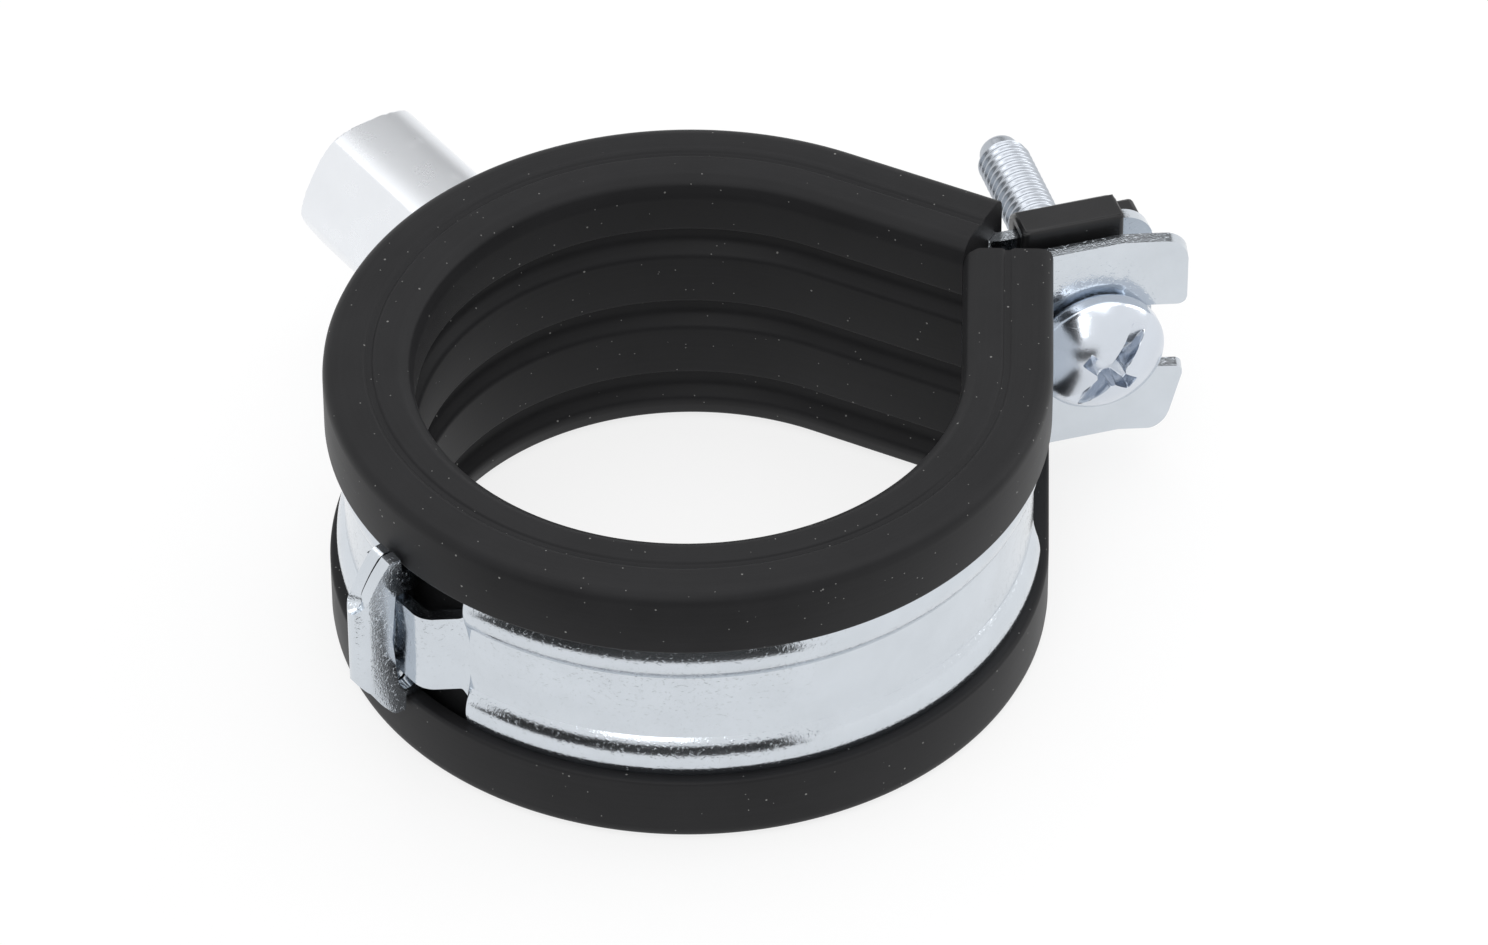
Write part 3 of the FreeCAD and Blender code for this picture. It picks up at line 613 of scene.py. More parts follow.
def front_strap_piece(ring, hinge, closure):
    """The front strap in one strip: tongue with its cross head, band, straight run, bend, ear and wings.

    The half width is the head's, the tongue's, a quarter circle's flare and the strap's, less the fall of the
    wings' corners. The ear's slot is open to its end and wider between the wings. The dish is a ball's cap,
    and the lower wing ends in a slant, by a shift that grows evenly towards its edge."""
    # The cross head's distance behind the flange and its depth
    head_play, head_depth = 0.2, 1.6
    # The ends of the tongue's flat and of its step, their bends, the band's lead and the flare between
    flat_end, step_end, step_bends, lead_in, flare_r = 4.2, 6.1, [1.6, 1.2], 0.6, 1.6
    # How far the ribs fade in before the band, and how far before its end they begin and finish fading
    fade_in, fade_from, fade_to = 0.1, 2.8, 0.4
    # The wings: bend, outer and inner corners, slant of the lower one, and where the slot widens to theirs
    crease_bend, outer_corner, inner_corner, slant, widening = 0.8, 2.0, 0.9, 1.7, 1.4
    # The softness of the dish's edge, and its fade before and behind the crease
    dish_soft, dish_from, dish_to = 0.1, 0.7, 0.5
    along, across = ear_frame(closure)
    ear_middle, turn_point, corner = ear_turn(ring, closure, tangents(ring)[1], ring.front_leave,
                                              closure.front_ear)
    mid_r = ring.bore + (ring.strap_in + ring.sheet / 2)
    away, past = heading(ring.hinge_az), heading(ring.hinge_az - 90)
    band_az = ring.hinge_az + hinge.band_end
    band = arc_line(mid_r, band_az, 360 + ring.front_leave)
    band_way = heading(band_az + 90)
    lead = band[0] - band_way * lead_in
    rise = crossing(lead, -band_way, past * -step_end, away)
    head_end = ring.sheet + head_play + head_depth
    tongue = bent_line([away * hinge.tongue_r + past * head_end, away * hinge.tongue_r - past * flat_end,
                        rise, lead], step_bends)
    crease = closure.screw_along + closure.crease
    wing_end = crease + closure.wing
    drop = closure.wing * math.tan(math.radians(closure.wing_turn))
    ear = bent_line([turn_point, corner, ear_middle + along * crease,
                     ear_middle + along * wing_end - across * drop],
                    [closure.bend + ring.sheet / 2, crease_bend])
    track = Track(np.concatenate([tongue, band, ear]))
    band_s, stop_s, ear_s = (track.nearest(point) for point in (band[0], band[-1], corner))
    crease_s = track.nearest(ear_middle + along * crease)
    slot_s = track.nearest(ear_middle + along * (closure.screw_along - closure.travel - closure.slot))
    flare_s = band_s - flare_r
    along_at = track.points @ along
    dish_ball = ball_of(closure.dish_r, closure.dish_depth)

    def ear_place(s):
        """How far out along the ear a length of the track lies, or far inside before the ear."""
        return np.where(s > ear_s, np.interp(s, track.along, along_at), -100)

    def half(s):
        """The half width of the head, the tongue, the flare and the strap, one after another."""
        width = ring.strap_half - corner_fall(ear_place(s), wing_end, outer_corner)
        flare = hinge.tongue_half + rise_of(flare_r, np.clip(s - flare_s, 0, flare_r))
        tongue_width = np.where(s < flare_s, hinge.tongue_half, flare)
        tongue_width = np.where(s < head_depth, hinge.tongue_head, tongue_width)
        return np.where(s < band_s - 0.01, tongue_width, width)

    def opening(s, side):
        """The ear's slot from its round end outwards, the same on both sides."""
        place = ear_place(s)
        slot = closed_slot(place, closure.screw_along - closure.travel, 1000, closure.slot)
        slot = slot + (closure.wing_slot - closure.slot) * smooth_step(crease - widening, crease, place)
        return np.where(s > ear_s, slot + corner_fall(place, wing_end, inner_corner), 0)

    def relief(s, z):
        """The ribs of the band, less the cap of the dish in the ear."""
        ribs = smooth_step(band_s - fade_in, band_s, s)
        ribs = ribs * (1 - smooth_step(stop_s - fade_from, stop_s - fade_to, s))
        place = ear_place(s)
        radius = np.sqrt((place - closure.screw_along) ** 2 + z ** 2)
        dish = np.maximum(closure.dish_depth - rise_of(dish_ball, np.minimum(radius, dish_ball)), 0)
        dish = np.sqrt(dish ** 2 + dish_soft ** 2) - dish_soft
        dish = dish * (1 - smooth_step(crease - dish_from, crease + dish_to, place))
        return rib_relief(ring, z) * ribs - np.where(s > ear_s, dish, 0)

    def shift(s, z):
        """Draws the lower wing back, evenly from its inner to its outer edge and from crease to end."""
        lean = np.clip((-z - closure.wing_slot) / (ring.strap_half - closure.wing_slot), 0, 1)
        return s - np.maximum(s - crease_s, 0) * lean * slant / closure.wing

    rows = fine_rows(track, (1.58, 1.62, 0.02), (0, 4, 0.2), (4, flare_s, 0.12), (flare_s, band_s, 0.15),
                     (band_s - 0.03, band_s + 0.02, 0.02), (stop_s, ear_s + 3, 0.2),
                     (slot_s, slot_s + 2.9, 0.12), (ear_s, track.end, 0.25),
                     (track.end - 2.1, track.end, 0.12))
    return sheet_piece("front_strap_steel", ring, track, rows, half, opening, relief, shift)


# Turned pieces

def thread_wave(phase):
    """One turn of a worn and plated thread: half of one less the cosine, 0 at the root and 1 at the crest."""
    return 0.5 - 0.5 * np.cos(2 * np.pi * phase)


def connection_nut_piece(nut, ring):
    """The hexagon nut as a closed ring of rows: up the outside, over the end, and down the threaded bore.

    The outside is the rounded hexagon, a soft minimum of its flats and its corners, cut at the end by a
    cone. The bore is the core radius plus the depth of a helical thread. The base follows the strap's
    outside, which is a circle about the pipe."""
    # The softness and the cut of the upright corners, how far the base is sunk, and the end's bevel
    edge_soft, corner_cut, sunk, bevel_rise, bevel_spare = 0.35, 0.28, 0.25, 0.75, 0.25
    # The pitch and depth of the two threads, and the length over which the outer one begins
    outer_pitch, outer_thread, inner_pitch, inner_thread, runout = 1.5, 0.7, 1.25, 0.55, 1.2
    theta = np.linspace(0, 2 * np.pi, 240, endpoint=False)
    flats = np.max(np.cos(theta[:, None] - np.radians(30 + 60 * np.arange(6))), axis=1)
    sharp = nut.across / 2 / flats
    corner_r = nut.across / math.sqrt(3)
    hexagon = -edge_soft * np.log(np.exp(-sharp / edge_soft) + np.exp(-(corner_r - corner_cut) / edge_soft))
    hexagon = np.minimum(hexagon * (nut.across / 2) / hexagon.min(), corner_r)
    strap = ring.bore + ring.strap_in + ring.sheet - sunk
    rows = []

    def base(radius):
        """The strap's height where a radius of the nut meets it, from the circle's equation."""
        return np.sqrt(strap ** 2 - (radius * np.cos(theta)) ** 2)

    def add(radius, height):
        """One more row: at each angle, the radius times its cosine and sine, at the height."""
        rows.append(np.stack([radius * np.cos(theta), height + 0 * theta, radius * np.sin(theta)], axis=-1))

    foot = base(hexagon)
    for share in np.linspace(0, 1, 14):
        add(hexagon, foot + (nut.end - bevel_rise - foot) * share)
    for share in np.linspace(0.15, 1, 7):
        cone = corner_r - (nut.corner + bevel_spare) * share ** 1.6
        add(np.minimum(hexagon, cone), nut.end - bevel_rise * (1 - share))
    face_radius = np.linalg.norm(rows[-1][:, [0, 2]], axis=1)
    mouth = nut.outer_core + nut.mouth
    for share in (0.03, 0.5, 0.97, 1):
        add(face_radius * (1 - share) + mouth * share, nut.end)
    for share in (0.3, 0.65, 1.0):
        add(mouth - nut.mouth * share, nut.end - nut.mouth * share)
    turn_share = theta / (2 * np.pi)
    for depth in np.linspace(nut.mouth + 0.05, nut.outer_depth, 56):
        fade = smooth_step(nut.mouth, nut.mouth + runout, depth)
        wave = thread_wave(depth / outer_pitch + turn_share)
        add(nut.outer_core + outer_thread * fade * wave, nut.end - depth)
    low = base(np.full_like(theta, nut.inner_core))
    for share in np.linspace(0, 1, 100):
        height = (nut.end - nut.outer_depth) * (1 - share) + low * share
        wave = thread_wave((nut.end - height) / inner_pitch + turn_share)
        add(nut.inner_core + inner_thread * wave, height)
    faces = grid_faces(len(rows), len(theta), wrap_rows=True, wrap_columns=True).tolist()
    return make_piece("connection_nut_steel", np.stack(rows).reshape(-1, 3), faces, sharp=40)


def on_screw(closure, x, y, across_at):
    """A point of the screw, from its place along the ear, its height and its place along the screw."""
    along, across = ear_frame(closure)
    spot = (closure.screw_along + x)[..., None] * along + across_at[..., None] * across
    return np.concatenate([spot, y[..., None]], axis=-1)


def screw_head(closure, pole):
    """The head: a dome over a square grid that is drawn out to a disc, with the drive sunk into it, then
    rings down its side, over the cone under its rim and the ball that rests in the dish, to the axis."""
    # The side's inset at the dome, the rim's rounding, the cone's width, and the play above the dish
    side_inset, rim_round, under_rim, seat_play = 0.18, 0.3, 0.6, 0.06
    # The drive: softness of its edges, half width, share of it in the cross, depths, slope and reaches
    soft, half, arm_width = 0.1, closure.drive_half, 0.85
    slot_depth, cross_depth, cross_slope, arm_reach, hub_reach = 1.85, 2.75, 0.32, 2.7, 1.75
    rim = pole - rise_of(closure.head_ball, closure.head_r)
    dome = ball_of(closure.head_r, closure.head_dome)
    top = rim - closure.head_rim - closure.head_dome
    edge = closure.head_r - side_inset
    count = 175
    u, v = np.meshgrid(np.linspace(-1, 1, count), np.linspace(-1, 1, count), indexing="ij")
    p, q = edge * u * np.sqrt(1 - v ** 2 / 2), edge * v * np.sqrt(1 - u ** 2 / 2)
    radius = np.sqrt(p ** 2 + q ** 2)

    def inside(value, limit):
        """One where the value's size is under the limit, with a soft edge."""
        return 1 - smooth_step(limit - soft, limit + soft, np.abs(value))

    arm = np.maximum(inside(q, half * arm_width) * inside(p, arm_reach),
                     inside(p, half * arm_width) * inside(q, arm_reach))
    cross = np.maximum(arm, inside(np.abs(p) + np.abs(q), hub_reach))
    height = top + rise_of(dome, radius)
    height = height + np.maximum(top + slot_depth - height, 0) * inside(q, half)
    height = height + np.maximum(top + cross_depth - cross_slope * radius - height, 0) * cross
    turn_by = math.radians(closure.drive_az)
    x, y = p * math.cos(turn_by) - q * math.sin(turn_by), p * math.sin(turn_by) + q * math.cos(turn_by)
    number = np.arange(count * count).reshape(count, count)
    ring = np.concatenate([number[:-1, 0], number[-1, :-1], number[:0:-1, -1], number[0, :0:-1]])
    around = np.arctan2(y.ravel()[ring], x.ravel()[ring])
    press = ball_of(closure.dish_r, closure.dish_depth)
    bottom = closure.front_ear + closure.dish_depth - seat_play
    down = np.linspace(closure.head_r - under_rim, 0, 16)
    under = bottom - rise_of(press, down)
    side = rounded_loop([(edge, top + rise_of(dome, edge), 0),
                         (closure.head_r, rim - closure.head_rim + 0.1, rim_round),
                         (closure.head_r, rim, rim_round), (down[0], under[0], 0)], closed=False)
    section = np.concatenate([side[1:], np.stack([down[1:], under[1:]], axis=1)])
    r, angle = np.meshgrid(section[:, 0], around, indexing="ij")
    level = np.broadcast_to(section[:, 1][:, None], r.shape)
    points = np.concatenate([on_screw(closure, x, y, height).reshape(-1, 3),
                             on_screw(closure, r * np.cos(angle), r * np.sin(angle), level).reshape(-1, 3)])
    first = count * count
    faces = [grid_faces(count, count), grid_faces(len(section), len(ring), first, wrap_columns=True),
             ribbon(np.append(ring, ring[0]), first + np.append(np.arange(len(ring)), 0))]
    return points, np.concatenate(faces)


def screw_shank(closure):
    """The shank as rings along its axis: the core plus a helical thread, a plain rounded tip, closed ends."""
    # The tip's length, its radius as a share of the crest's, its rounding, and the thread's depth
    tip_length, tip_share, tip_round, thread_depth = 1.5, 0.75, 0.6, 0.27
    start = closure.front_ear
    end = start + closure.dish_depth + closure.screw_length
    theta = np.linspace(0, 2 * np.pi, 60, endpoint=False)
    tip_from = end - tip_length
    crest = closure.thread_r
    core, tip_r = crest - thread_depth, tip_share * crest
    at = np.concatenate([[start, start], np.linspace(start, tip_from, int((tip_from - start) / 0.07)),
                         np.linspace(tip_from + 0.05, end, 14)])
    level, angle = np.meshgrid(at, theta, indexing="ij")
    fade = 1 - smooth_step(tip_from - 0.5, tip_from, level)
    radius = core + (crest - core) * fade * thread_wave(level / closure.thread_pitch + angle / (2 * np.pi))
    radius = radius + (tip_r - radius) * smooth_step(tip_from - 0.35, tip_from + 0.1, level)
    nose = np.clip((level - (end - tip_round)) / tip_round, 0, 1)
    rounded = tip_r - tip_round + tip_round * np.sqrt(1 - nose ** 2)
    radius = np.where(level > end - tip_round, rounded, radius)
    radius[0] = 0
    radius = np.concatenate([radius, np.zeros((1, len(theta)))])
    level = np.concatenate([level, np.full((1, len(theta)), end)])
    angle = np.concatenate([angle, angle[:1]])
    points = on_screw(closure, radius * np.cos(angle), radius * np.sin(angle), level)
    return points.reshape(-1, 3), grid_faces(len(level), len(theta), wrap_columns=True)


def closure_screw_piece(closure):
    """The screw's head and shank. The head's rim lies on the ball under the head, which clears the dish's
    ball by a little at the edge of the slot."""
    lifted = 0.05
    press = ball_of(closure.dish_r, closure.dish_depth)
    pole = (closure.front_ear + closure.dish_depth - rise_of(press, closure.slot)
            + rise_of(closure.head_ball, closure.slot) - lifted)
    return [make_piece(name, points, faces.tolist(), sharp=50)
            for name, (points, faces) in (("closure_screw_head", screw_head(closure, pole)),
                                          ("closure_screw_shank", screw_shank(closure)))]


# Materials

def feed(tree, made, **values):
    """Gives a node its values by name. An input takes a number, a colour or another node's output, and any
    other name is one of the node's own settings."""
    for key, value in values.items():
        socket = made.inputs.get(key.replace("_", " "))
        if socket is None:
            setattr(made, key, value)
        elif isinstance(value, bpy.types.NodeSocket):
            tree.links.new(value, socket)
        else:
            socket.default_value = value
    return made


def node(tree, kind, **values):
    """A new node with its values."""
    return feed(tree, tree.nodes.new(kind), **values)


def effect(name, outputs, **numbers):
    """An empty shader node group with the input Vector, further inputs that are numbers, and its outputs."""
    tree = bpy.data.node_groups.new(name, "ShaderNodeTree")
    tree.interface.new_socket(name="Vector", in_out="INPUT", socket_type="NodeSocketVector")
    for key, value in numbers.items():
        socket = tree.interface.new_socket(name=key, in_out="INPUT", socket_type="NodeSocketFloat")
        socket.default_value = value
    for key in outputs:
        tree.interface.new_socket(name=key, in_out="OUTPUT", socket_type="NodeSocketFloat")
    return tree, tree.nodes.new("NodeGroupInput").outputs, tree.nodes.new("NodeGroupOutput")


def object_place(tree):
    """Object coordinates, in metres."""
    return tree.nodes.new("ShaderNodeTexCoord").outputs["Object"]


def ramp(tree, value, low, high):
    """Zero below low, one above high, and a smooth step between them."""
    return node(tree, "ShaderNodeMapRange", interpolation_type="SMOOTHSTEP", Value=value, From_Min=low,
                From_Max=high).outputs["Result"]


def noise(tree, vector, scale, detail, rough=0.55):
    """Cloudy noise from 0 to 1."""
    return node(tree, "ShaderNodeTexNoise", Vector=vector, Scale=scale, Detail=detail,
                Roughness=rough).outputs["Fac"]


def calculate(tree, operation, one, other):
    """A math node on two values, which are numbers or outputs."""
    made = node(tree, "ShaderNodeMath", operation=operation)
    for socket, value in zip(made.inputs, (one, other)):
        if isinstance(value, bpy.types.NodeSocket):
            tree.links.new(value, socket)
        else:
            socket.default_value = value
    return made.outputs[0]


def times(tree, one, other):
    """The product of two values."""
    return calculate(tree, "MULTIPLY", one, other)


def plus(tree, one, other):
    """The sum of two values."""
    return calculate(tree, "ADD", one, other)


def plating_effect():
    """Mottled zinc: cloudy patches, fine crystals, grit and sparse wipe marks, from one vector."""
    tree, start, end = effect("plating", ["Shade", "Gloss", "Height"], Clouds=0.5, Crystals=0.5)
    vector = start["Vector"]
    clouds = times(tree, noise(tree, vector, scale=260, detail=4), start["Clouds"])
    crystals = times(tree, noise(tree, vector, scale=5200, detail=2), start["Crystals"])
    grit = times(tree, ramp(tree, noise(tree, vector, scale=2600, detail=3), 0.56, 0.7), start["Crystals"])
    stretch = node(tree, "ShaderNodeMapping", Vector=vector, Scale=(0.06, 0.06, 1.0),
                   Rotation=(0.25, 0.1, 0.0))
    wipes = ramp(tree, noise(tree, stretch.outputs["Vector"], scale=5200, detail=2), 0.62, 0.75)
    feed(tree, end, Shade=plus(tree, clouds, times(tree, grit, 0.08)),
         Gloss=plus(tree, times(tree, clouds, 0.5), times(tree, wipes, 0.35)),
         Height=plus(tree, crystals, grit))
    return tree


def dust_effect():
    """Sparse pale specks: the nearest cell points, kept where the cell's own random number is low."""
    tree, start, end = effect("dust", ["Mask"], Scale=900.0, Size=0.06, Share=0.3)
    cells = node(tree, "ShaderNodeTexVoronoi", Vector=start["Vector"], Scale=start["Scale"])
    near = calculate(tree, "LESS_THAN", cells.outputs["Distance"], start["Size"])
    split = node(tree, "ShaderNodeSeparateColor", Color=cells.outputs["Color"])
    kept = calculate(tree, "LESS_THAN", split.outputs["Red"], start["Share"])
    feed(tree, end, Mask=times(tree, near, kept))
    return tree


def grain_effect():
    """Fine grain with a soft cloudiness under it, as on moulded and extruded surfaces."""
    tree, start, end = effect("grain", ["Shade", "Height"], Scale=4000.0)
    feed(tree, end, Shade=noise(tree, start["Vector"], scale=180, detail=3),
         Height=noise(tree, start["Vector"], scale=start["Scale"], detail=3, rough=0.6))
    return tree


EFFECTS = {"plating": plating_effect, "dust": dust_effect, "grain": grain_effect}


def placed(tree, name, **values):
    """The outputs of an effect's group placed in a material. The group is built when first asked for."""
    made = tree.nodes.new("ShaderNodeGroup")
    made.node_tree = bpy.data.node_groups.get(name) or EFFECTS[name]()
    return feed(tree, made, **values).outputs


def blank_material(name, **values):
    """A material with the values of its shader, its tree and the shader itself."""
    material = bpy.data.materials.new(name)
    material.use_nodes = True
    tree = material.node_tree
    return material, tree, feed(tree, tree.nodes["Principled BSDF"], **values)


def mix_colours(tree, share, first, second):
    """The first colour where the share is 0 and the second where it is 1."""
    made = node(tree, "ShaderNodeMix", data_type="RGBA", Factor=share)
    for socket, value in ((made.inputs[6], first), (made.inputs[7], second)):
        if isinstance(value, bpy.types.NodeSocket):
            tree.links.new(value, socket)
        else:
            socket.default_value = value
    return made.outputs[2]


def bump(tree, height, strength, distance):
    """The normal of a surface raised by a height, over a distance in metres."""
    return node(tree, "ShaderNodeBump", Strength=strength, Distance=distance, Height=height).outputs["Normal"]


def scaled(base, factor):
    """A colour times a factor, with its alpha."""
    return tuple(min(1.0, part * factor) for part in base) + (1.0,)


def zinc(name, base, gloss, clouds, crystals, depth):
    """Plated steel: a metal whose shade, gloss and height come from the plating effect."""
    material, tree, shader = blank_material(name, Metallic=1.0)
    plating = placed(tree, "plating", Vector=object_place(tree), Clouds=clouds, Crystals=crystals)
    feed(tree, shader, Base_Color=mix_colours(tree, plating["Shade"], scaled(base, 1.1), scaled(base, 0.8)),
         Roughness=plus(tree, times(tree, plating["Gloss"], 0.22), gloss),
         Normal=bump(tree, plating["Height"], 0.35, depth))
    return material


def black_rubber(name, base):
    """Matt rubber with extrusion lines that follow the liner's own map, soft clouds and pale dust."""
    dust_colour, dust_share = (0.35, 0.35, 0.34, 1.0), 0.6
    material, tree, shader = blank_material(name, Specular_IOR_Level=0.12)
    place = object_place(tree)
    surface = node(tree, "ShaderNodeUVMap", uv_map="surface").outputs["UV"]
    stretch = node(tree, "ShaderNodeMapping", Vector=surface, Scale=(0.02, 1.0, 1.0))
    lines = noise(tree, stretch.outputs["Vector"], scale=2600, detail=3)
    grain = placed(tree, "grain", Vector=place, Scale=5200.0)
    dust = placed(tree, "dust", Vector=place, Scale=620.0, Size=0.06, Share=0.45)
    fine_dust = placed(tree, "dust", Vector=place, Scale=1500.0, Size=0.09, Share=0.2)
    shade = plus(tree, times(tree, grain["Shade"], 0.6), times(tree, lines, 0.4))
    height = plus(tree, times(tree, grain["Height"], 0.5), times(tree, lines, 0.5))
    body = mix_colours(tree, shade, scaled(base, 0.7), scaled(base, 1.35))
    specks = times(tree, calculate(tree, "MAXIMUM", dust["Mask"], fine_dust["Mask"]), dust_share)
    feed(tree, shader, Base_Color=mix_colours(tree, specks, body, dust_colour),
         Roughness=plus(tree, times(tree, shade, 0.14), 0.38), Normal=bump(tree, height, 0.25, 0.00005))
    return material


def black_plastic(name, base):
    """Moulded plastic with a fine grain and a little dust."""
    dust_colour, dust_share = (0.3, 0.3, 0.3, 1.0), 0.35
    material, tree, shader = blank_material(name, Specular_IOR_Level=0.3)
    place = object_place(tree)
    grain = placed(tree, "grain", Vector=place, Scale=7000.0)
    dust = placed(tree, "dust", Vector=place, Scale=900.0, Size=0.06, Share=0.2)
    body = mix_colours(tree, grain["Shade"], scaled(base, 0.75), scaled(base, 1.4))
    specks = times(tree, dust["Mask"], dust_share)
    feed(tree, shader, Base_Color=mix_colours(tree, specks, body, dust_colour),
         Roughness=plus(tree, times(tree, grain["Shade"], 0.15), 0.3),
         Normal=bump(tree, grain["Height"], 0.2, 0.00003))
    return material


# Zinc finishes: their colour and how much of it is left, roughness, clouds, crystals, and relief in metres
ZINC_FINISHES = {
    "zinc_sheet": ("sheet_zinc", 1.0, 0.12, 0.5, 0.5, 0.00005),
    "zinc_nut": ("nut_zinc", 1.0, 0.26, 0.3, 0.08, 0.00002),
    "zinc_screw": ("screw_zinc", 1.0, 0.17, 0.5, 0.2, 0.00003),
    "zinc_thread": ("screw_zinc", 0.7, 0.26, 0.5, 0.1, 0.00002),
}


def finish_of(scene, name):
    """The material of a finish, made the first time that it is asked for."""
    colours = scene.clamp_finish
    if name in bpy.data.materials:
        return bpy.data.materials[name]
    if name == "liner_rubber_black":
        return black_rubber(name, tuple(colours.rubber))
    if name == "clip_plastic_black":
        return black_plastic(name, tuple(colours.plastic))
    key, share, *values = ZINC_FINISHES[name]
    return zinc(name, tuple(share * part for part in getattr(colours, key)), *values)


def dress(piece, scene, finish, body=None, nodes=()):
    """Gives a piece its material, its slot, its body and the nodes that it stands for."""
    piece.data.materials.clear()
    piece.data.materials.append(finish_of(scene, finish))
    if body:
        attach(piece, body)
    if nodes:
        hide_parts(*nodes)


# Operators

class ClampLiner(bpy.types.Operator):
    """Sweep the rubber liner of both shells"""
    bl_idname = "clamp.liner"
    bl_label = "Liner"

    def execute(self, context):
        # The liner's play at the closure, and the seam's place in the wall, lean in degrees, reach in metres
        end_play, seam_in, seam_lean, seam_reach = 0.05, 3.5, 2.5, 0.003
        ring = sizes_of(context.scene.clamp_ring)
        (rear, rear_way, rear_run), (front, front_way, front_run) = tangents(ring)
        rear_line = np.concatenate([(rear + rear_way * (rear_run - end_play))[None],
                                    arc_line(ring.bore, ring.rear_leave, ring.hinge_az)])
        front_line = np.concatenate([arc_line(ring.bore, ring.hinge_az, 360 + ring.front_leave),
                                     (front + front_way * (front_run - end_play))[None]])
        liner = swept_liner("rear_liner_rubber", ring, Track(rear_line))
        dress(liner, context.scene, "liner_rubber_black", "rear_shell", ["rear_liner"])
        liner = swept_liner("front_liner_rubber", ring, Track(front_line))
        dress(liner, context.scene, "liner_rubber_black", None, ["front_liner"])
        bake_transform(liner)
        return {"FINISHED"}


class ClampRearStrap(bpy.types.Operator):
    """Bend the rear strap with its ear and its folded hinge flange"""
    bl_idname = "clamp.rear_strap"
    bl_label = "Rear strap"

    def execute(self, context):
        ring, hinge, closure, _ = all_sizes(context.scene)
        dress(rear_strap_piece(ring, hinge, closure), context.scene, "zinc_sheet",
              "rear_shell", ["rear_strap"])
        return {"FINISHED"}


class ClampFrontStrap(bpy.types.Operator):
    """Bend the front strap with its tongue, its dished ear and its wings"""
    bl_idname = "clamp.front_strap"
    bl_label = "Front strap"

    def execute(self, context):
        ring, hinge, closure, _ = all_sizes(context.scene)
        dress(front_strap_piece(ring, hinge, closure), context.scene, "zinc_sheet",
              "front_shell", ["front_strap"])
        return {"FINISHED"}


class ClampConnectionNut(bpy.types.Operator):
    """Turn the hexagon connection nut with its two threads"""
    bl_idname = "clamp.connection_nut"
    bl_label = "Connection nut"

    def execute(self, context):
        ring, _, _, nut = all_sizes(context.scene)
        dress(connection_nut_piece(nut, ring), context.scene, "zinc_nut",
              "rear_shell", ["connection_nut"])
        return {"FINISHED"}


class ClampClosureScrew(bpy.types.Operator):
    """Turn the closure screw with its domed head and its thread"""
    bl_idname = "clamp.closure_screw"
    bl_label = "Closure screw"

    def execute(self, context):
        closure = sizes_of(context.scene.clamp_closure)
        head, shank = closure_screw_piece(closure)
        dress(head, context.scene, "zinc_screw", "screw", ["closure_screw"])
        dress(shank, context.scene, "zinc_thread", "screw")
        return {"FINISHED"}


class ClampNutAndClip(bpy.types.Operator):
    """Soften the square nut and the clip that holds it"""
    bl_idname = "clamp.nut_and_clip"
    bl_label = "Square nut and clip"

    def execute(self, context):
        nut = merged_copy("square_nut", "square_nut_steel", 0.25)
        dress(nut, context.scene, "zinc_screw", "floating_nut", ["square_nut"])
        clip = merged_copy("screw_clip", "screw_clip_plastic", 0.5, clamp=False)
        dress(clip, context.scene, "clip_plastic_black", "rear_shell", ["screw_clip"])
        return {"FINISHED"}


def studio_lamp(name, place, aim, size, power):
    """A soft lamp at a place, turned towards its aim."""
    lamp = bpy.data.lights.new(name, "AREA")
    lamp.shape = "RECTANGLE"
    lamp.size, lamp.size_y = size
    lamp.energy = power
    holder = add_object(name, lamp)
    holder.location = place
    holder.rotation_euler = (Vector(aim) - Vector(place)).to_track_quat("-Z", "Y").to_euler()


# Reflected cards: shade, azimuths from and to, and the near and the far pair of radius and height in metres
CARDS = {
    "front_card": (0.05, -178, -99, (0.15, -0.0135), (0.15, 0.018)),
    "low_card": (0.05, -178, -99, (0.058, -0.0135), (0.15, -0.0135)),
    "back_card": (0.22, 20, 95, (0.9, 0.5), (0.8, 1.2)),
}


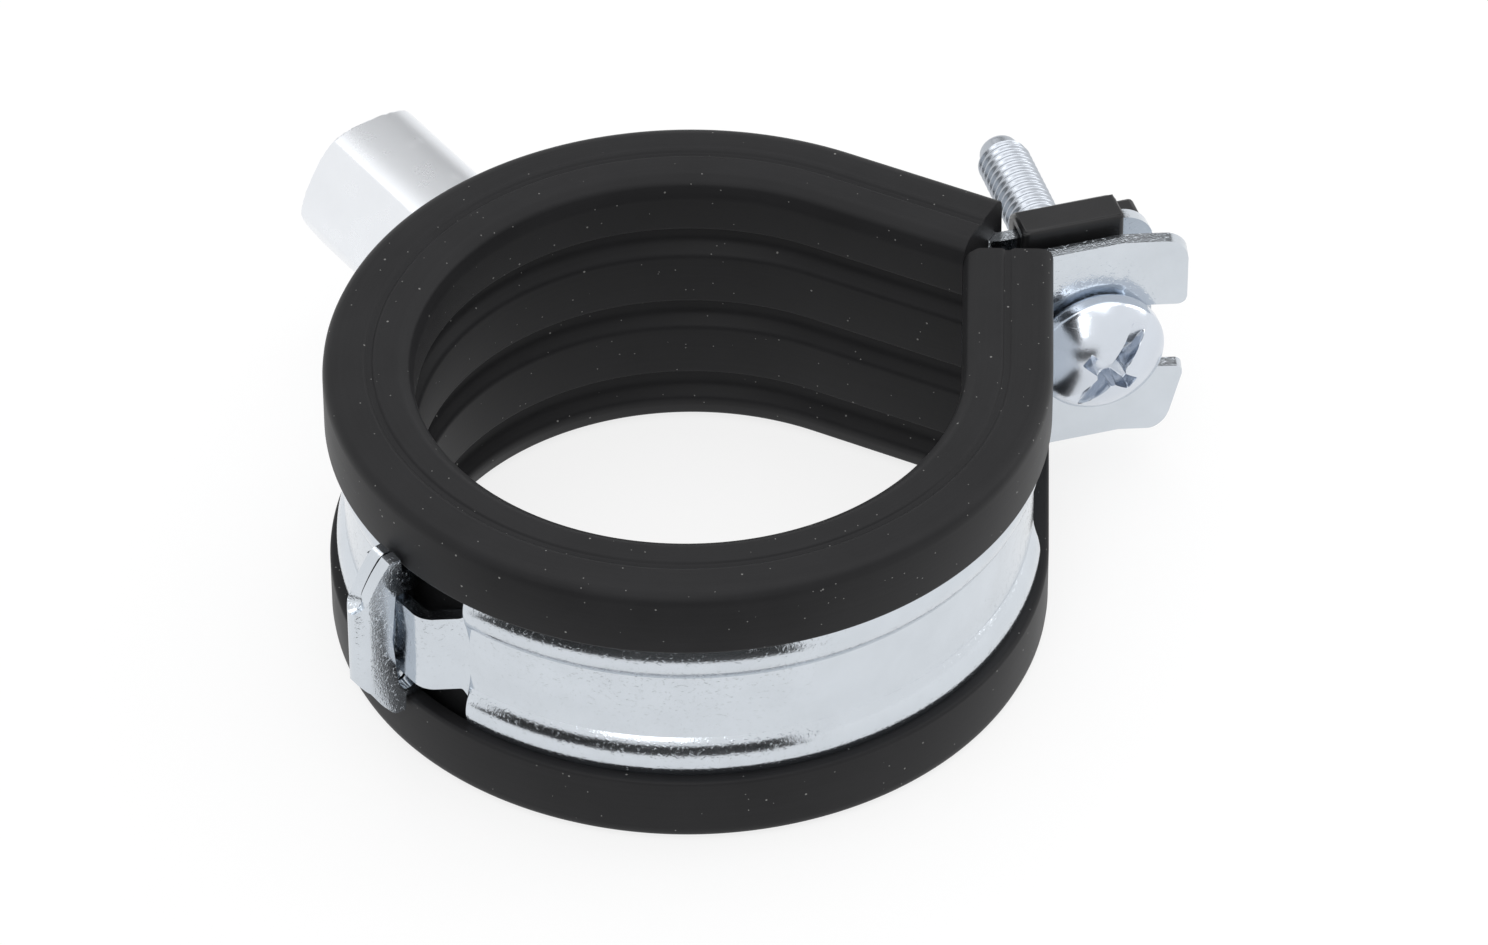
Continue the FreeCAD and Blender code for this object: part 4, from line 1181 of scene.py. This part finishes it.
class ClampStage(bpy.types.Operator):
    """Lay the floor, hang the lamps and set the camera at the photograph's angle"""
    bl_idname = "clamp.stage"
    bl_label = "Stage"

    def execute(self, context):
        scene = context.scene
        self.lay_floor(scene)
        self.hang_cards()
        self.light_world(scene)
        studio_lamp("top_lamp", (0.1, 0.1, 0.7), (0, 0, 0), (1.1, 1.1), 4.0)
        studio_lamp("key_lamp", (-0.5, -0.45, 0.55), (0, 0, 0), (0.35, 0.5), 1.2)
        studio_lamp("side_lamp", (0.65, -0.2, 0.3), (0, 0, 0), (0.3, 0.4), 0.7)
        self.set_camera(scene)
        scene.view_settings.view_transform = "Standard"
        return {"FINISHED"}

    def lay_floor(self, scene):
        """A wide square under the object, pale by its own colour and glow, with hardly visible clouds."""
        far, low, base = 3, CAD_BOX[0].z, tuple(scene.clamp_finish.floor)
        mesh = bpy.data.meshes.new("studio_floor")
        mesh.from_pydata([(-far, -far, low), (far, -far, low), (far, far, low), (-far, far, low)], [],
                         [(0, 1, 2, 3)])
        material, tree, shader = blank_material("studio_floor", Roughness=0.9, Specular_IOR_Level=0.1,
                                                Emission_Strength=0.8, Emission_Color=(1, 1, 1, 1))
        clouds = noise(tree, object_place(tree), scale=3.0, detail=2)
        feed(tree, shader, Base_Color=mix_colours(tree, clouds, scaled(base, 0.995), scaled(base, 1.005)))
        mesh.materials.append(material)
        add_object("studio_floor", mesh)

    def light_world(self, scene):
        """White where the camera, a reflection or glass looks at it, and half as strong as a light."""
        scene.world = bpy.data.worlds.new("studio")
        scene.world.use_nodes = True
        tree = scene.world.node_tree
        path = tree.nodes.new("ShaderNodeLightPath").outputs
        seen = calculate(tree, "MAXIMUM", path["Is Camera Ray"], path["Is Glossy Ray"])
        seen = calculate(tree, "MAXIMUM", seen, path["Is Transmission Ray"])
        feed(tree, tree.nodes["Background"], Color=(1, 1, 1, 1),
             Strength=plus(tree, times(tree, seen, 0.5), 0.5))

    def hang_cards(self):
        """Dark and grey cards that only reflections see. Each is an arc about the object between azimuths,
        and runs straight from a near to a far pair of radius and height."""
        columns, rows = 24, 4
        for name, (base, start, stop, near, far) in CARDS.items():
            material, tree, shader = blank_material(name, Roughness=0.9, Specular_IOR_Level=0.0)
            shade = ramp(tree, noise(tree, object_place(tree), scale=9.0, detail=3), 0.35, 0.7)
            grey = (base,) * 3
            feed(tree, shader, Base_Color=mix_colours(tree, shade, scaled(grey, 0.5), scaled(grey, 1.4)))
            az, share = np.meshgrid(np.linspace(start, stop, columns), np.linspace(0, 1, rows), indexing="ij")
            radius = near[0] + (far[0] - near[0]) * share
            height = near[1] + (far[1] - near[1]) * share
            points = np.concatenate([radius[..., None] * heading(az), height[..., None]], axis=-1)
            mesh = bpy.data.meshes.new(name)
            mesh.from_pydata(points.reshape(-1, 3).tolist(), [], grid_faces(columns, rows).tolist())
            mesh.materials.append(material)
            card = add_object(name, mesh)
            card.visible_camera = card.visible_diffuse = card.visible_shadow = False

    def set_camera(self, scene):
        """The camera on the line from the pipe's axis at an azimuth and elevation, rolled about its view and
        moved sideways and upwards. Its focal length is in pixels of the photograph's width."""
        azimuth, elevation, roll = (math.radians(angle) for angle in (-35.34, 40.93, -0.237))
        shift_right, shift_up, distance = -0.004814, -0.000258, 0.78
        focal_pixels, photo_width, sensor_width = 8924.8, 1488, 36
        right = Vector((math.cos(azimuth), math.sin(azimuth), 0))
        back = Vector((math.sin(azimuth) * math.cos(elevation), -math.cos(azimuth) * math.cos(elevation),
                       math.sin(elevation)))
        up = back.cross(right)
        level = right * math.cos(roll) + up * math.sin(roll)
        upright = up * math.cos(roll) - right * math.sin(roll)
        camera = add_object("camera", bpy.data.cameras.new("camera"))
        camera.data.sensor_width = sensor_width
        camera.data.lens = focal_pixels / photo_width * sensor_width
        camera.data.clip_start, camera.data.clip_end = 0.01, 20
        place = back * distance - level * shift_right - upright * shift_up
        camera.matrix_world = Matrix.Translation(place) @ Matrix((level, upright, back)).transposed().to_4x4()
        scene.camera = camera


class ClampPanel(bpy.types.Panel):
    """Sizes, colours and steps of the pipe clamp"""
    bl_idname = "VIEW3D_PT_pipe_clamp"
    bl_label = "Pipe clamp"
    bl_space_type = "VIEW_3D"
    bl_region_type = "UI"
    bl_category = "Pipe clamp"

    def draw(self, context):
        for step in STEPS:
            self.layout.operator(step.bl_idname)
        for key, kind in GROUPS.items():
            box = self.layout.box()
            box.label(text=kind.__doc__)
            for field in kind.__annotations__:
                box.prop(getattr(context.scene, key), field)


STEPS = (ClampLiner, ClampRearStrap, ClampFrontStrap, ClampConnectionNut, ClampClosureScrew, ClampNutAndClip,
         ClampStage)


def register():
    """Makes the classes known and hangs each group of sizes on the scene."""
    for kind in (*GROUPS.values(), *STEPS, ClampPanel):
        bpy.utils.register_class(kind)
    for key, kind in GROUPS.items():
        setattr(bpy.types.Scene, key, bpy.props.PointerProperty(type=kind))


def unregister():
    """Takes the groups off the scene and the classes away, in the opposite order."""
    for key in GROUPS:
        delattr(bpy.types.Scene, key)
    for kind in reversed((*GROUPS.values(), *STEPS, ClampPanel)):
        bpy.utils.unregister_class(kind)


def main():
    """Runs the operators in order."""
    register()
    for step in STEPS:
        family, name = step.bl_idname.split(".")
        getattr(getattr(bpy.ops, family), name)()


if __name__ == "__main__":
    main()
